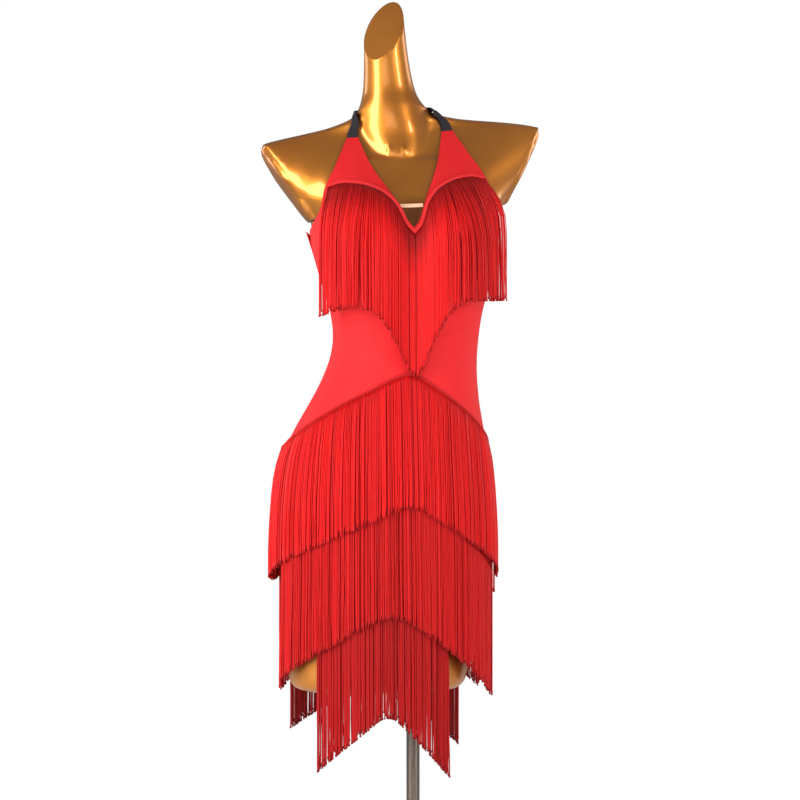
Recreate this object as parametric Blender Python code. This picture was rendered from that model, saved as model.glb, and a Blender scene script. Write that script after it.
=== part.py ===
"""Latin dance dress with fringe tiers on a limbless dress form with pole and round base.

Metres, +Z up, the front faces -Y, and the origin is under the pole on the floor.
The form's surface is one function of an angle and a height, and every piece of the
dress is worked out from it, moved out by its own clearance.
"""
import math

import bmesh
import bpy
import numpy as np
from mathutils import Vector

# ---------------------------------------------------------------- form
COLUMNS = ("height", "centre_x", "centre_y", "half_width", "front", "back", "tilt")
SECTIONS = {
    "underside": (0.515, -0.0600, -0.005, 0.1430, 0.089, 0.079, 0.000),
    "low_thigh": (0.600, -0.0575, -0.004, 0.1590, 0.099, 0.089, 0.000),
    "thigh": (0.700, -0.0495, -0.001, 0.1690, 0.106, 0.102, 0.000),
    "hip": (0.800, -0.0475, 0.002, 0.1750, 0.109, 0.119, 0.000),
    "high_hip": (0.880, -0.0465, 0.003, 0.1715, 0.106, 0.119, 0.000),
    "belly": (0.945, -0.0380, 0.001, 0.1520, 0.102, 0.102, 0.000),
    "low_waist": (1.010, -0.0245, 0.000, 0.1280, 0.096, 0.088, 0.000),
    "waist": (1.075, -0.0125, 0.000, 0.1155, 0.090, 0.083, 0.000),
    "ribs": (1.135, -0.0100, 0.003, 0.1215, 0.094, 0.088, 0.000),
    "underbust": (1.190, -0.0105, 0.008, 0.1385, 0.101, 0.094, 0.005),
    "bust": (1.250, -0.0110, 0.014, 0.1520, 0.105, 0.098, 0.020),
    "underarm": (1.300, -0.0140, 0.020, 0.1575, 0.101, 0.099, 0.040),
    "chest": (1.340, -0.0180, 0.025, 0.2000, 0.088, 0.097, 0.065),
    "shoulder": (1.395, -0.0220, 0.030, 0.2450, 0.060, 0.083, 0.085),
    "shoulder_top": (1.4230, -0.0230, 0.031, 0.2440, 0.040, 0.072, 0.087),
    "yoke": (1.4350, -0.0232, 0.032, 0.2070, 0.034, 0.060, 0.087),
    "neck_root": (1.4435, -0.0240, 0.031, 0.1440, 0.034, 0.053, 0.087),
    "neck_base": (1.452, -0.0280, 0.029, 0.0850, 0.044, 0.050, 0.078),
    "neck_low": (1.470, -0.0335, 0.024, 0.0565, 0.049, 0.045, 0.056),
    "neck": (1.500, -0.0375, 0.017, 0.0440, 0.042, 0.038, 0.010),
    "neck_mid": (1.545, -0.0430, 0.010, 0.0370, 0.036, 0.034, 0.000),
    "neck_high": (1.600, -0.0475, 0.004, 0.0340, 0.033, 0.031, 0.000),
    "neck_top": (1.660, -0.0525, -0.002, 0.0325, 0.032, 0.030, 0.000),
}
SQUARENESS = 2.12            # 2 is an ellipse, more is squarer
SLOPE_LIMIT = 3.0            # steepest slope between sections, in slopes beside them
TURNING_SLOPE = 0.35         # share of the mean slope kept where a value turns back
BUST_SPREAD = 0.078          # each bust mound's centre from the middle
BUST_HEIGHT = 1.258
BUST_DEPTH = 0.034
BUST_SIZE = 0.042
BUST_FLATNESS = 0.85         # less makes a mound taller than wide
HOLLOW_DEPTH = 0.010         # the hollow between the mounds
HOLLOW_WIDTH = 0.030
HOLLOW_HEIGHT = 0.060
NECK_FOOT_HEIGHT = 1.385     # the neck's front stands upright down to here
NECK_FOOT_TOP = 1.462        # the sections take over from its foot above this
NECK_FOOT_FRONT = -0.036
NECK_FOOT_LEAN = 0.13        # how far its front goes back for each metre up
NECK_FOOT_HALF_WIDTH = 0.068
NECK_FOOT_DEPTH = 0.031      # how far back its sides are from its front
NECK_FOOT_END = 1.5          # how steeply it ends at its top
NECK_FOOT_BLEND = 0.005      # radius of the crease where it meets the chest
UNDERSIDE_ROUND = 0.026      # radius of the form's lower edge
NECK_CUT_POINT = (-0.048, 0.0, 1.595)
NECK_CUT_SLOPE = (1.12, 1.58)       # rise per metre to +X and to +Y
LEFT_CAP_POINT = (-0.198, 0.0, 1.3415)
LEFT_CAP_FACE = (-0.822, 0.0, -0.569)
RIGHT_CAP_POINT = (0.182, 0.0, 1.3795)
RIGHT_CAP_FACE = (0.886, 0.0, -0.464)
LEFT_CAP_FOOT = 1.285        # each shoulder cut stops at this height
RIGHT_CAP_FOOT = 1.316
CUT_RIM = (0.0025, 0.0008)   # width and rise of the rim round the neck's cut face
CAP_RIM = (0.005, 0.0018)    # the same on a shoulder's cut face
CUT_REACH = 0.05             # faces this far below a cut's foot are cut with it
CUT_MERGE = 0.0025           # corners of a cut face closer than this become one
ON_PLANE = 1e-5
FRONT_REACH = 45.0           # degrees each side of the front with close columns
FRONT_STEP = 5.0             # degrees between the form's columns in front, and behind
BACK_STEP = 10.0
FORM_HEIGHTS = (0.580, 0.660, 0.740, 0.810, 0.870, 0.920, 0.960, 0.995, 1.035,
                1.075, 1.120, 1.160, 1.190, 1.220, 1.240, 1.260, 1.280, 1.300, 1.322,
                1.345, 1.370, 1.395, 1.4165, 1.426, 1.434, 1.441, 1.447, 1.454, 1.462,
                1.472, 1.488, 1.515, 1.560, 1.660)

# ---------------------------------------------------------------- stand
POLE_RADIUS = 0.011
BASE_RADIUS = 0.190
BASE_THICKNESS = 0.006
BASE_EDGE = 0.002
HUB_RADIUS = 0.026
HUB_TOP = 0.030
TOUCH_GAP = 0.0003
POLE_SIDES = 24
BASE_SIDES = 48

# ---------------------------------------------------------------- dress
CLOTH_CLEARANCE = 0.0025     # inside of the cloth from the form
CLOTH_THICKNESS = 0.0015
SEAM_GAP = 0.0003
SIDE_SEAM = 92.0             # degrees from the middle of the front
BODICE_ROWS = 16
BACK_ROWS = 9
BACK_COLUMNS = (6, 4)        # cells over half of the tongue's width, and from there to the side
SKIRT_ROWS = 5
TONGUE_ROWS = 3

# Edges of the bodice: degrees from the middle of the front, and height.
PLUNGE_EDGE = ((0.0, 1.2670), (2.3, 1.273), (4.4, 1.285), (8.0, 1.3165), (11.2, 1.3495),
               (12.9, 1.379), (15.2, 1.4247))
ARMHOLE_EDGE = ((19.8, 1.4247), (24.4, 1.389), (28.8, 1.3695), (36.0, 1.350), (44.3, 1.331),
                (53.0, 1.316), (62.0, 1.303), (71.0, 1.291), (82.0, 1.279), (92.0, 1.272))
BACK_TOP_EDGE = ((92.0, 1.272), (105.0, 1.266), (125.0, 1.250), (150.0, 1.232), (180.0, 1.226))
BUST_COLUMN = 32.2           # a column of the front over the top of each mound
BODICE_ROW_EASE = 0.8        # under 1 puts more of the front's rows at the bust
BUST_ROOM = 0.0021           # extra clearance over the bust
BUST_ROOM_ANGLE = (25.0, 15.0)
BUST_ROOM_HEIGHT = 0.050
BACK_FLARE = 0.006           # the back's top corners stand off the form
BACK_FLARE_ANGLE = 8.0
BACK_FLARE_HEIGHT = 0.012

# Headings of the fringe: degrees from the middle of the front or the back, and height.
BUST_HEADING = ((0.4, 1.2640), (3.5, 1.270), (5.8, 1.280), (6.9, 1.289), (8.2, 1.300),
                (9.6, 1.310), (11.5, 1.320), (13.4, 1.329), (16.3, 1.3365), (19.2, 1.342),
                (22.5, 1.346), (29.0, 1.3500), (35.2, 1.3478), (37.0, 1.3458))
HIP_FRONT = ((0.0, 1.036), (10.0, 1.026), (24.0, 1.006), (38.0, 0.988), (50.0, 0.969),
             (60.0, 0.955), (70.0, 0.940), (92.0, 0.914))
HIP_BACK = ((0.0, 0.990), (25.0, 0.965), (50.0, 0.930), (75.0, 0.904), (88.0, 0.914))
HIP_DROP = 0.022             # how far its fringe leaves the seam at the right side
HIP_DROP_ANGLE = (40.0, 85.0)
THIGH_FRONT = ((0.0, 0.860), (8.0, 0.850), (16.0, 0.836), (26.0, 0.816), (36.0, 0.798),
               (48.0, 0.778), (60.0, 0.758), (70.0, 0.746), (78.0, 0.738), (92.0, 0.730))
THIGH_BACK = ((0.0, 0.815), (25.0, 0.790), (50.0, 0.755), (68.0, 0.730), (88.0, 0.725))
THIGH_LEAN = -0.014          # the second front heading's rise towards +X
THIGH_SIDES = (-71.0, 77.0)  # the second headings stop short of the side seams
THIGH_REACH_BACK = 68.0
TONGUE_FRONT = ((0.0, 0.706), (8.0, 0.685), (18.0, 0.658), (28.0, 0.634), (38.0, 0.610))
TONGUE_BACK = ((0.0, 0.722), (15.0, 0.702), (30.0, 0.683), (45.0, 0.662), (55.0, 0.649))
TONGUE_LEAN = (-0.007, -0.019)      # the third headings' rise towards +X, front and back
TONGUE_SIDES = (-40.0, 36.0)
TONGUE_REACH_BACK = 55.0
HEM_BELOW_HEADING = 0.010    # cloth that shows under the last heading

# ---------------------------------------------------------------- fringe
STRAND_LENGTH = 0.2115
BUST_LONGER = 0.020          # extra length of the bust's strands beside the plunge
BUST_LONGER_ANGLE = (10.0, 20.0)
BUST_FAN = (-0.0145, 0.0370)  # how far the bust's outermost strands spread, left and right
BUST_FAN_RUN = 0.045         # over this length
TAPE_CLEARANCE = 0.0058      # inside of a heading tape from the form
TAPE_THICKNESS = 0.0020
TAPE_WIDTH = 0.005
TAPE_BELOW_SEAM = 0.0005
LOCK_THICKNESS = 0.0024
LOCK_SHARE = 0.72            # share of the heading that a lock fills
LOCK_LIFT = 0.0082           # a lock's middle from the form, below its root
LOCK_LIFT_OVER = 0.0126      # the same where it lies over the next tier
BUST_LIFT = 0.0109
LIFT_RUN = 0.020             # a lock leaves its tape over this length
BUST_LIFT_RUN = 0.030
OVER_START = 0.100           # length down a lock where it starts to rise over the next tier
OVER_RUN = 0.040
SIDE_GAP = 0.4               # degrees between a heading's end and the side seam
DRAPE_STEP = 0.004
HEADING_STEPS = 200          # points that measure a heading's length
RING_STEPS = 73              # points round the form at a height
BEARING_STEP = 0.02          # radians each side, for the form's own direction there

# ---------------------------------------------------------------- neckband and bar
# Edges of the neckband's half: angle and height beside the neck, then on the shoulder.
BAND_EDGES = ((15.2, 1.4250, 19.8, 1.4250), (18.5, 1.4360, 22.7, 1.4345),
              (26.5, 1.4443, 27.9, 1.4405), (39.5, 1.4503, 35.8, 1.4453),
              (54.9, 1.4555, 48.1, 1.4503), (69.4, 1.4605, 65.4, 1.4542),
              (85.0, 1.4652, 84.0, 1.4587), (105.0, 1.4695, 104.3, 1.4603),
              (130.0, 1.4735, 130.5, 1.4615), (155.0, 1.4755, 155.2, 1.4622),
              (180.0, 1.4765, 180.0, 1.4630))
BAND_STEPS = 33
BAND_SHARES = (0.0, 0.5, 1.0)   # points across the band
BAND_LIFT = 0.0030           # extra clearance between the halter points
BAND_EASE = 2                # rows of the table over which it rises
BAR_HEIGHT = 0.006
BAR_LEVEL = 1.303
BAR_REACH = 6.0              # degrees each side, behind the two plunge edges
BAR_CLEARANCE = 0.0006
BAR_THICKNESS = 0.0010
BAR_STEPS = 7


def section_values():
    """Table of sections as an array, and a smooth slope for each entry."""
    table = np.array(list(SECTIONS.values()))
    heights = table[:, 0]
    gaps = np.diff(heights)[:, None]
    rises = np.diff(table, axis=0) / gaps
    slopes = np.empty_like(table)
    slopes[0] = rises[0]
    slopes[-1] = rises[-1]
    for row in range(1, len(heights) - 1):
        below, above = rises[row - 1], rises[row]
        share = (heights[row + 1] - heights[row]) / (heights[row + 1] - heights[row - 1])
        mean = share * below + (1 - share) * above
        limit = SLOPE_LIMIT * np.minimum(abs(below), abs(above))
        turning = below * above <= 0
        slopes[row] = np.where(turning, TURNING_SLOPE * mean, np.clip(mean, -limit, limit))
    return table, slopes


TABLE, SLOPES = section_values()


def section(height):
    """Smoothly interpolated section values at one height or an array of them."""
    levels = TABLE[:, 0]
    height = np.clip(height, levels[0], levels[-1])
    row = np.clip(np.searchsorted(levels, height, side="right") - 1, 0, len(levels) - 2)
    span = (levels[row + 1] - levels[row])[..., None]
    part = (height - levels[row])[..., None] / span
    start = (2 * part ** 3 - 3 * part ** 2 + 1) * TABLE[row]
    end = (3 * part ** 2 - 2 * part ** 3) * TABLE[row + 1]
    leave = (part ** 3 - 2 * part ** 2 + part) * span * SLOPES[row]
    arrive = (part ** 3 - part ** 2) * span * SLOPES[row + 1]
    return np.moveaxis(start + end + leave + arrive, -1, 0)


def join_neck_foot(across, y, z):
    """The chest's front, or the front of the neck's foot where that stands before it."""
    foot = NECK_FOOT_FRONT + NECK_FOOT_DEPTH * (across / NECK_FOOT_HALF_WIDTH) ** 2
    foot = foot + NECK_FOOT_LEAN * np.maximum(z - NECK_FOOT_HEIGHT, 0)
    foot = foot + NECK_FOOT_END * np.maximum(z - NECK_FOOT_TOP, 0)
    return -NECK_FOOT_BLEND * np.logaddexp(-y / NECK_FOOT_BLEND, -foot / NECK_FOOT_BLEND)


def bare_point(angle, height):
    """Point on the form: angle in degrees from the front, positive to +X."""
    angle, height = np.broadcast_arrays(np.radians(angle), np.asarray(height, float))
    _, centre_x, centre_y, half_width, front, back, tilt = section(height)
    side, ahead = np.sin(angle), np.cos(angle)
    power = 2 / SQUARENESS
    x = centre_x + half_width * np.sign(side) * abs(side) ** power
    depth = np.where(ahead > 0, front, back)
    y = centre_y - depth * np.sign(ahead) * abs(ahead) ** power
    z = height + tilt * (x - centre_x)
    rise = 0.0
    for sign in (-1, 1):
        across = x - centre_x - sign * BUST_SPREAD
        spread = across ** 2 + BUST_FLATNESS * (z - BUST_HEIGHT) ** 2
        rise = rise + BUST_DEPTH * np.exp(-spread / (2 * BUST_SIZE ** 2))
    hollow = ((x - centre_x) / HOLLOW_WIDTH) ** 2 + ((z - BUST_HEIGHT) / HOLLOW_HEIGHT) ** 2
    rise = rise - HOLLOW_DEPTH * np.exp(-hollow / 2)
    y = y - rise * np.sqrt(np.clip(ahead, 0, 1))
    y = np.where(ahead > 0, join_neck_foot(x - centre_x, y, z), y)
    return np.stack([x, y, z], axis=-1)


def normal(angle, height):
    turn, rise = 0.06, 0.001
    around = bare_point(angle + turn, height) - bare_point(angle - turn, height)
    upward = bare_point(angle, height + rise) - bare_point(angle, height - rise)
    out = np.cross(around, upward)
    return out / np.linalg.norm(out, axis=-1, keepdims=True)


def point(angle, height, clearance):
    """Point at a clearance from the form's surface."""
    angle, height = np.asarray(angle, float), np.asarray(height, float)
    moved = normal(angle, height) * np.asarray(clearance)[..., None]
    return bare_point(angle, height) + moved


def smooth_step(value):
    value = np.clip(value, 0, 1)
    return value * value * (3 - 2 * value)


def edge_height(rows, angle):
    """Height of an edge from its short table, the same on both sides."""
    angles, heights = zip(*rows)
    return np.interp(abs(np.asarray(angle, float)), angles, heights)


# ---------------------------------------------------------------- Blender helpers
def material(name, colour, roughness, metallic=0.0):
    made = bpy.data.materials.new(name)
    made.use_nodes = True
    shader = made.node_tree.nodes["Principled BSDF"]
    shader.inputs["Base Color"].default_value = (*colour, 1.0)
    shader.inputs["Roughness"].default_value = roughness
    shader.inputs["Metallic"].default_value = metallic
    return made


def add_object(name, mesh_builder, finish, smooth_angle=40):
    mesh = bpy.data.meshes.new(name)
    mesh_builder.to_mesh(mesh)
    mesh_builder.free()
    mesh.materials.append(finish)
    mesh.shade_smooth()
    mesh.set_sharp_from_angle(angle=math.radians(smooth_angle))
    made = bpy.data.objects.new(name, mesh)
    bpy.context.scene.collection.objects.link(made)
    return made


def loft(rings, closed_ring=True):
    """Skin between rings of points; open ends stay open."""
    build = bmesh.new()
    loops = [[build.verts.new(spot) for spot in ring] for ring in rings]
    count = len(rings[0])
    for lower, upper in zip(loops, loops[1:]):
        for one in range(count if closed_ring else count - 1):
            two = (one + 1) % count
            build.faces.new((lower[one], lower[two], upper[two], upper[one]))
    return build, loops


def cut_flat(build, place, face, foot, rim_size):
    """Cut what is past a plane and above its foot, and close it with a face in a raised rim."""
    place, face = Vector(place), Vector(face).normalized()
    floor = Vector((0, 0, foot))
    for spot, way in ((floor, Vector((0, 0, 1))), (place, face)):
        near = [f for f in build.faces if f.calc_center_median().z > foot - CUT_REACH]
        parts = {item for f in near for item in (*f.verts, *f.edges, f)}
        bmesh.ops.bisect_plane(build, geom=list(parts), plane_co=spot, plane_no=way)

    def past(spot):
        return (spot - place).dot(face)

    waste = [f for f in build.faces
             if past(f.calc_center_median()) > 0 and f.calc_center_median().z > foot]
    bmesh.ops.delete(build, geom=waste, context="FACES")
    open_edges = [edge for edge in build.edges if edge.is_boundary]
    rim = [e for e in open_edges if all(abs(past(end.co)) < ON_PLANE for end in e.verts)]
    ledge = [edge for edge in open_edges if edge not in rim]
    if ledge:
        ends = [v for v in {v for edge in rim for v in edge.verts}
                if sum(edge in rim for edge in v.link_edges) == 1]
        fold = build.edges.new(ends)
        bmesh.ops.contextual_create(build, geom=ledge + [fold])
        rim.append(fold)
    cap = bmesh.ops.contextual_create(build, geom=rim)["faces"]
    short = [v for f in cap for v in f.verts]
    bmesh.ops.remove_doubles(build, verts=short, dist=CUT_MERGE)
    cap = [f for f in build.faces if all(abs(past(v.co)) < ON_PLANE for v in f.verts)]
    bmesh.ops.recalc_face_normals(build, faces=build.faces[:])
    width, rise = rim_size
    bmesh.ops.inset_region(build, faces=cap, thickness=width, depth=rise,
                           use_even_offset=True)


# ---------------------------------------------------------------- form and stand
def build_form(finish):
    """Smooth solid torso with a slanted neck cut, two shoulder cuts and a round lower edge."""
    front = np.arange(-FRONT_REACH, FRONT_REACH, FRONT_STEP)
    angles = np.concatenate([front, np.arange(FRONT_REACH, 360 - FRONT_REACH, BACK_STEP)])
    count = len(angles)
    rings = []
    start = SECTIONS["underside"][0]
    for turn in (0, 30, 60, 90):
        inset = UNDERSIDE_ROUND * (1 - math.sin(math.radians(turn)))
        level = start + UNDERSIDE_ROUND * (1 - math.cos(math.radians(turn)))
        ring = point(angles, np.full(count, start + UNDERSIDE_ROUND), np.full(count, -inset))
        ring[:, 2] = level
        rings.append(ring)
    for level in FORM_HEIGHTS:
        rings.append(bare_point(angles, np.full(count, level)))
    build, loops = loft(rings)
    build.faces.new(list(reversed(loops[0])))
    right_slope, back_slope = NECK_CUT_SLOPE
    neck_face = (-right_slope, -back_slope, 1)
    cut_flat(build, NECK_CUT_POINT, neck_face, SECTIONS["neck"][0], CUT_RIM)
    cut_flat(build, LEFT_CAP_POINT, LEFT_CAP_FACE, LEFT_CAP_FOOT, CAP_RIM)
    cut_flat(build, RIGHT_CAP_POINT, RIGHT_CAP_FACE, RIGHT_CAP_FOOT, CAP_RIM)
    return add_object("form", build, finish, 50)


def turned(name, profile, sides, finish):
    """Solid turned about the pole's axis from a list of radius and height."""
    angles = np.arange(sides) * 2 * math.pi / sides
    rings = []
    for radius, level in profile:
        rings.append([(radius * math.cos(a), radius * math.sin(a), level) for a in angles])
    build, loops = loft(rings)
    build.faces.new(list(reversed(loops[0])))
    build.faces.new(loops[-1])
    return add_object(name, build, finish, 30)


def build_stand(steel, plate):
    top = SECTIONS["underside"][0] - TOUCH_GAP
    ends = [(POLE_RADIUS, HUB_TOP + TOUCH_GAP), (POLE_RADIUS, top)]
    turned("pole", ends, POLE_SIDES, steel)
    turned("base", [
        (BASE_RADIUS - BASE_EDGE / 2, 0.0),
        (BASE_RADIUS, BASE_EDGE / 2),
        (BASE_RADIUS, BASE_THICKNESS - BASE_EDGE),
        (BASE_RADIUS - BASE_EDGE, BASE_THICKNESS),
        (HUB_RADIUS, BASE_THICKNESS),
        (HUB_RADIUS, HUB_TOP - BASE_EDGE),
        (HUB_RADIUS - BASE_EDGE, HUB_TOP),
    ], BASE_SIDES, plate)


# ---------------------------------------------------------------- cloth
def build_wall(name, angles, levels, present, finish, flare=None):
    """Cloth wall over the present cells of a grid: levels has a row of heights per column."""
    build = bmesh.new()
    skins = []
    for clearance in (CLOTH_CLEARANCE, CLOTH_CLEARANCE + CLOTH_THICKNESS):
        skin = []
        for angle, heights in zip(angles, levels):
            extra = flare(angle, heights) if flare else np.zeros(len(heights))
            places = point(np.full(len(heights), angle), heights, clearance + extra)
            skin.append(places)
        skins.append(skin)
    made = {}

    def corner(layer, column, row):
        key = (layer, column, row)
        if key not in made:
            made[key] = build.verts.new(skins[layer][column][row])
        return made[key]

    sides = {}
    for column, row in zip(*np.nonzero(present)):
        around = [(column, row), (column + 1, row), (column + 1, row + 1), (column, row + 1)]
        build.faces.new([corner(1, *spot) for spot in around])
        build.faces.new([corner(0, *spot) for spot in reversed(around)])
        for start, end in zip(around, around[1:] + around[:1]):
            if (end, start) in sides:
                del sides[end, start]
            else:
                sides[start, end] = True
    for start, end in sides:
        build.faces.new([corner(1, *end), corner(1, *start), corner(0, *start), corner(0, *end)])
    return add_object(name, build, finish)


def even_levels(bottoms, tops, rows, ease=1.0):
    """A row of heights for each column, closer together at the top if ease is under 1."""
    bottoms, tops = bottoms[:, None], tops[:, None]
    return bottoms + (tops - bottoms) * np.linspace(0, 1, rows + 1) ** ease


def all_cells(levels):
    return np.ones((levels.shape[0] - 1, levels.shape[1] - 1), bool)


def both_sides(halves):
    """Offsets on both sides of the middle from those on one side, which start at 0."""
    return [-offset for offset in reversed(halves[1:])] + list(halves)


def front_columns(reach):
    """Angles of the front's columns: the corners of its edges and of the skirt's tongue."""
    corners = {row[0] for row in PLUNGE_EDGE + ARMHOLE_EDGE[:-1]}
    corners |= {-TONGUE_SIDES[0], TONGUE_SIDES[1], BUST_COLUMN, reach}
    return both_sides(sorted(corners))


def back_columns(reach):
    inner = np.linspace(0, TONGUE_REACH_BACK, BACK_COLUMNS[0] + 1)
    outer = np.linspace(TONGUE_REACH_BACK, reach, BACK_COLUMNS[1] + 1)[1:]
    return [180 + offset for offset in both_sides([*inner, *outer])]


def from_back(angle):
    """Degrees from the middle of the back, the same on both sides."""
    return abs(np.mod(angle, 360) - 180)


def bodice_top(angle):
    """Top edge of the front bodice: plunge, halter point, armhole."""
    return edge_height(PLUNGE_EDGE + ARMHOLE_EDGE, angle)


def hip_front(angle):
    return edge_height(HIP_FRONT, angle)


def hip_back(angle):
    return edge_height(HIP_BACK, from_back(angle))


def hip_back_fringe(angle):
    """Heading that follows the seam, and drops below it towards the right side."""
    begins, ends = HIP_DROP_ANGLE
    share = smooth_step((from_back(angle) - begins) / (ends - begins))
    return hip_back(angle) - np.where(angle < 180, HIP_DROP * share, 0)


def thigh_front(angle):
    return edge_height(THIGH_FRONT, angle) + THIGH_LEAN * np.sin(np.radians(angle))


def thigh_back(angle):
    return edge_height(THIGH_BACK, from_back(angle))


def tongue_front(angle):
    middle = (TONGUE_SIDES[0] + TONGUE_SIDES[1]) / 2
    lean = TONGUE_LEAN[0] * np.sin(np.radians(angle))
    return edge_height(TONGUE_FRONT, np.asarray(angle) - middle) + lean


def tongue_back(angle):
    lean = TONGUE_LEAN[1] * np.sin(np.radians(angle))
    return edge_height(TONGUE_BACK, from_back(angle)) + lean


def back_flare(angle, heights):
    """Small stand-off at the two top corners of the back."""
    along = math.exp(-((180 - from_back(angle) - SIDE_SEAM) / BACK_FLARE_ANGLE) ** 2)
    top = edge_height(BACK_TOP_EDGE, 180 - from_back(angle))
    return BACK_FLARE * along * np.exp(-(top - heights) / BACK_FLARE_HEIGHT)


def bust_room(angle, heights):
    middle, spread = BUST_ROOM_ANGLE
    across = ((abs(angle) - middle) / spread) ** 2
    upward = ((heights - BUST_HEIGHT) / BUST_ROOM_HEIGHT) ** 2
    return BUST_ROOM * np.exp(-across - upward)


def build_skirt(name, angles, seam, thigh, tongue, tongue_sides, finish):
    """Skirt down to the second heading all along, and to the third where the tongue is."""
    short_hem = thigh(angles) - HEM_BELOW_HEADING
    long_hem = tongue(angles) - HEM_BELOW_HEADING
    lower = even_levels(long_hem, short_hem, TONGUE_ROWS)[:, :-1]
    levels = np.hstack([lower, even_levels(short_hem, seam - SEAM_GAP / 2, SKIRT_ROWS)])
    present = all_cells(levels)
    middles = (angles[:-1] + angles[1:]) / 2
    in_tongue = (middles > tongue_sides[0]) & (middles < tongue_sides[1])
    present[:, :TONGUE_ROWS] = in_tongue[:, None]
    build_wall(name, angles, levels, present, finish)


def build_cloth(finish):
    """Front and back, each parted at the pointed hip seam, with the same columns above it."""
    seam_angle = math.degrees(SEAM_GAP / 2 / SECTIONS["waist"][3])
    angles = np.array(front_columns(SIDE_SEAM - seam_angle))
    seam = hip_front(angles)
    levels = even_levels(seam + SEAM_GAP / 2, bodice_top(angles), BODICE_ROWS, BODICE_ROW_EASE)
    build_wall("front_bodice", angles, levels, all_cells(levels), finish, bust_room)
    build_skirt("front_skirt", angles, seam, thigh_front, tongue_front, TONGUE_SIDES, finish)

    angles = np.array(back_columns(180 - SIDE_SEAM - seam_angle))
    seam = hip_back(angles)
    tops = edge_height(BACK_TOP_EDGE, 180 - from_back(angles))
    levels = even_levels(seam + SEAM_GAP / 2, tops, BACK_ROWS)
    build_wall("back_bodice", angles, levels, all_cells(levels), finish, back_flare)
    tongue = (180 - TONGUE_REACH_BACK, 180 + TONGUE_REACH_BACK)
    build_skirt("back_skirt", angles, seam, thigh_back, tongue_back, tongue, finish)


def build_strip(name, sections, finish):
    """Closed strip from cross-sections of points, outer row first and then the inner one."""
    build, loops = loft(sections)
    build.faces.new(list(reversed(loops[0])))
    build.faces.new(loops[-1])
    bmesh.ops.recalc_face_normals(build, faces=build.faces[:])
    return add_object(name, build, finish)


def smooth_path(stops, count):
    """Evenly numbered places on a smooth curve through the stops."""
    stops = np.asarray(stops)
    tangents = np.gradient(stops, axis=0)
    marks = np.linspace(0, len(stops) - 1, count)
    row = np.minimum(marks.astype(int), len(stops) - 2)
    part = (marks - row)[:, None]
    start = (2 * part ** 3 - 3 * part ** 2 + 1) * stops[row]
    end = (3 * part ** 2 - 2 * part ** 3) * stops[row + 1]
    leave = (part ** 3 - 2 * part ** 2 + part) * tangents[row]
    arrive = (part ** 3 - part ** 2) * tangents[row + 1]
    return start + end + leave + arrive


def build_neckband(finish):
    """Elastic band from one halter point round the back of the neck to the other."""
    left = [(-near, low, -far, high) for near, low, far, high in BAND_EDGES]
    right = [(near - 360, low, far - 360, high) for near, low, far, high in BAND_EDGES[:-1]]
    rows = left + right[::-1]
    lines = []
    for thickness, shares in ((CLOTH_THICKNESS, BAND_SHARES), (0.0, BAND_SHARES[::-1])):
        for share in shares:
            stops = []
            for place, (near, low, far, high) in enumerate(rows):
                from_end = min(place, len(rows) - 1 - place)
                lift = CLOTH_CLEARANCE + BAND_LIFT * smooth_step(from_end / BAND_EASE)
                angle, height = near + (far - near) * share, low + (high - low) * share
                stops.append(point(angle, height, lift + thickness))
            lines.append(smooth_path(stops, BAND_STEPS))
    build_strip("neckband", np.stack(lines, axis=1), finish)


def build_bar(finish):
    """Flat elastic across the plunge, from behind one edge of the bodice to the other."""
    sections = []
    low, high = BAR_LEVEL - BAR_HEIGHT / 2, BAR_LEVEL + BAR_HEIGHT / 2
    inner, outer = BAR_CLEARANCE, BAR_CLEARANCE + BAR_THICKNESS
    for angle in np.linspace(-BAR_REACH, BAR_REACH, BAR_STEPS):
        corners = ((high, outer), (low, outer), (low, inner), (high, inner))
        sections.append([point(angle, level, clearance) for level, clearance in corners])
    build_strip("plunge_bar", sections, finish)


# ---------------------------------------------------------------- fringe
def unsloped(x, z):
    """Height of the form's section that passes through each place."""
    height = z
    for _ in range(3):
        values = section(height)
        height = z - values[6] * (x - values[1])
    return height


def push_out(places, clearance):
    """Move each place straight out until it is clear of the form at its own height."""
    x, y, z = places.T
    height = unsloped(x, z)
    _, centre_x, centre_y = section(height)[:3]
    turns = np.linspace(-180, 180, RING_STEPS)
    ring = point(*np.broadcast_arrays(turns, height[:, None], clearance[:, None]))
    moved = places.copy()
    for row in range(len(z)):
        around_x, around_y = ring[row, :, 0] - centre_x[row], ring[row, :, 1] - centre_y[row]
        bearings = np.arctan2(around_x, -around_y)
        bearings[0], bearings[-1] = -math.pi, math.pi
        own_x, own_y = x[row] - centre_x[row], y[row] - centre_y[row]
        bearing = math.atan2(own_x, -own_y)
        reach = math.hypot(own_x, own_y)
        short = np.interp(bearing, bearings, np.hypot(around_x, around_y)) - reach
        if short <= 0:
            continue
        beside = [bearing - BEARING_STEP, bearing + BEARING_STEP]
        along_x = np.diff(np.interp(beside, bearings, around_x))[0]
        along_y = np.diff(np.interp(beside, bearings, around_y))[0]
        out = np.array([along_y, -along_x]) / math.hypot(along_x, along_y)
        radial = np.array([own_x, own_y]) / reach
        if out @ radial < 0:
            out = -out
        if out[0] * own_x < 0:
            out = np.array([0.0, math.copysign(1.0, own_y)])
        moved[row, :2] += out * short * (out @ radial)
    return moved


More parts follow.
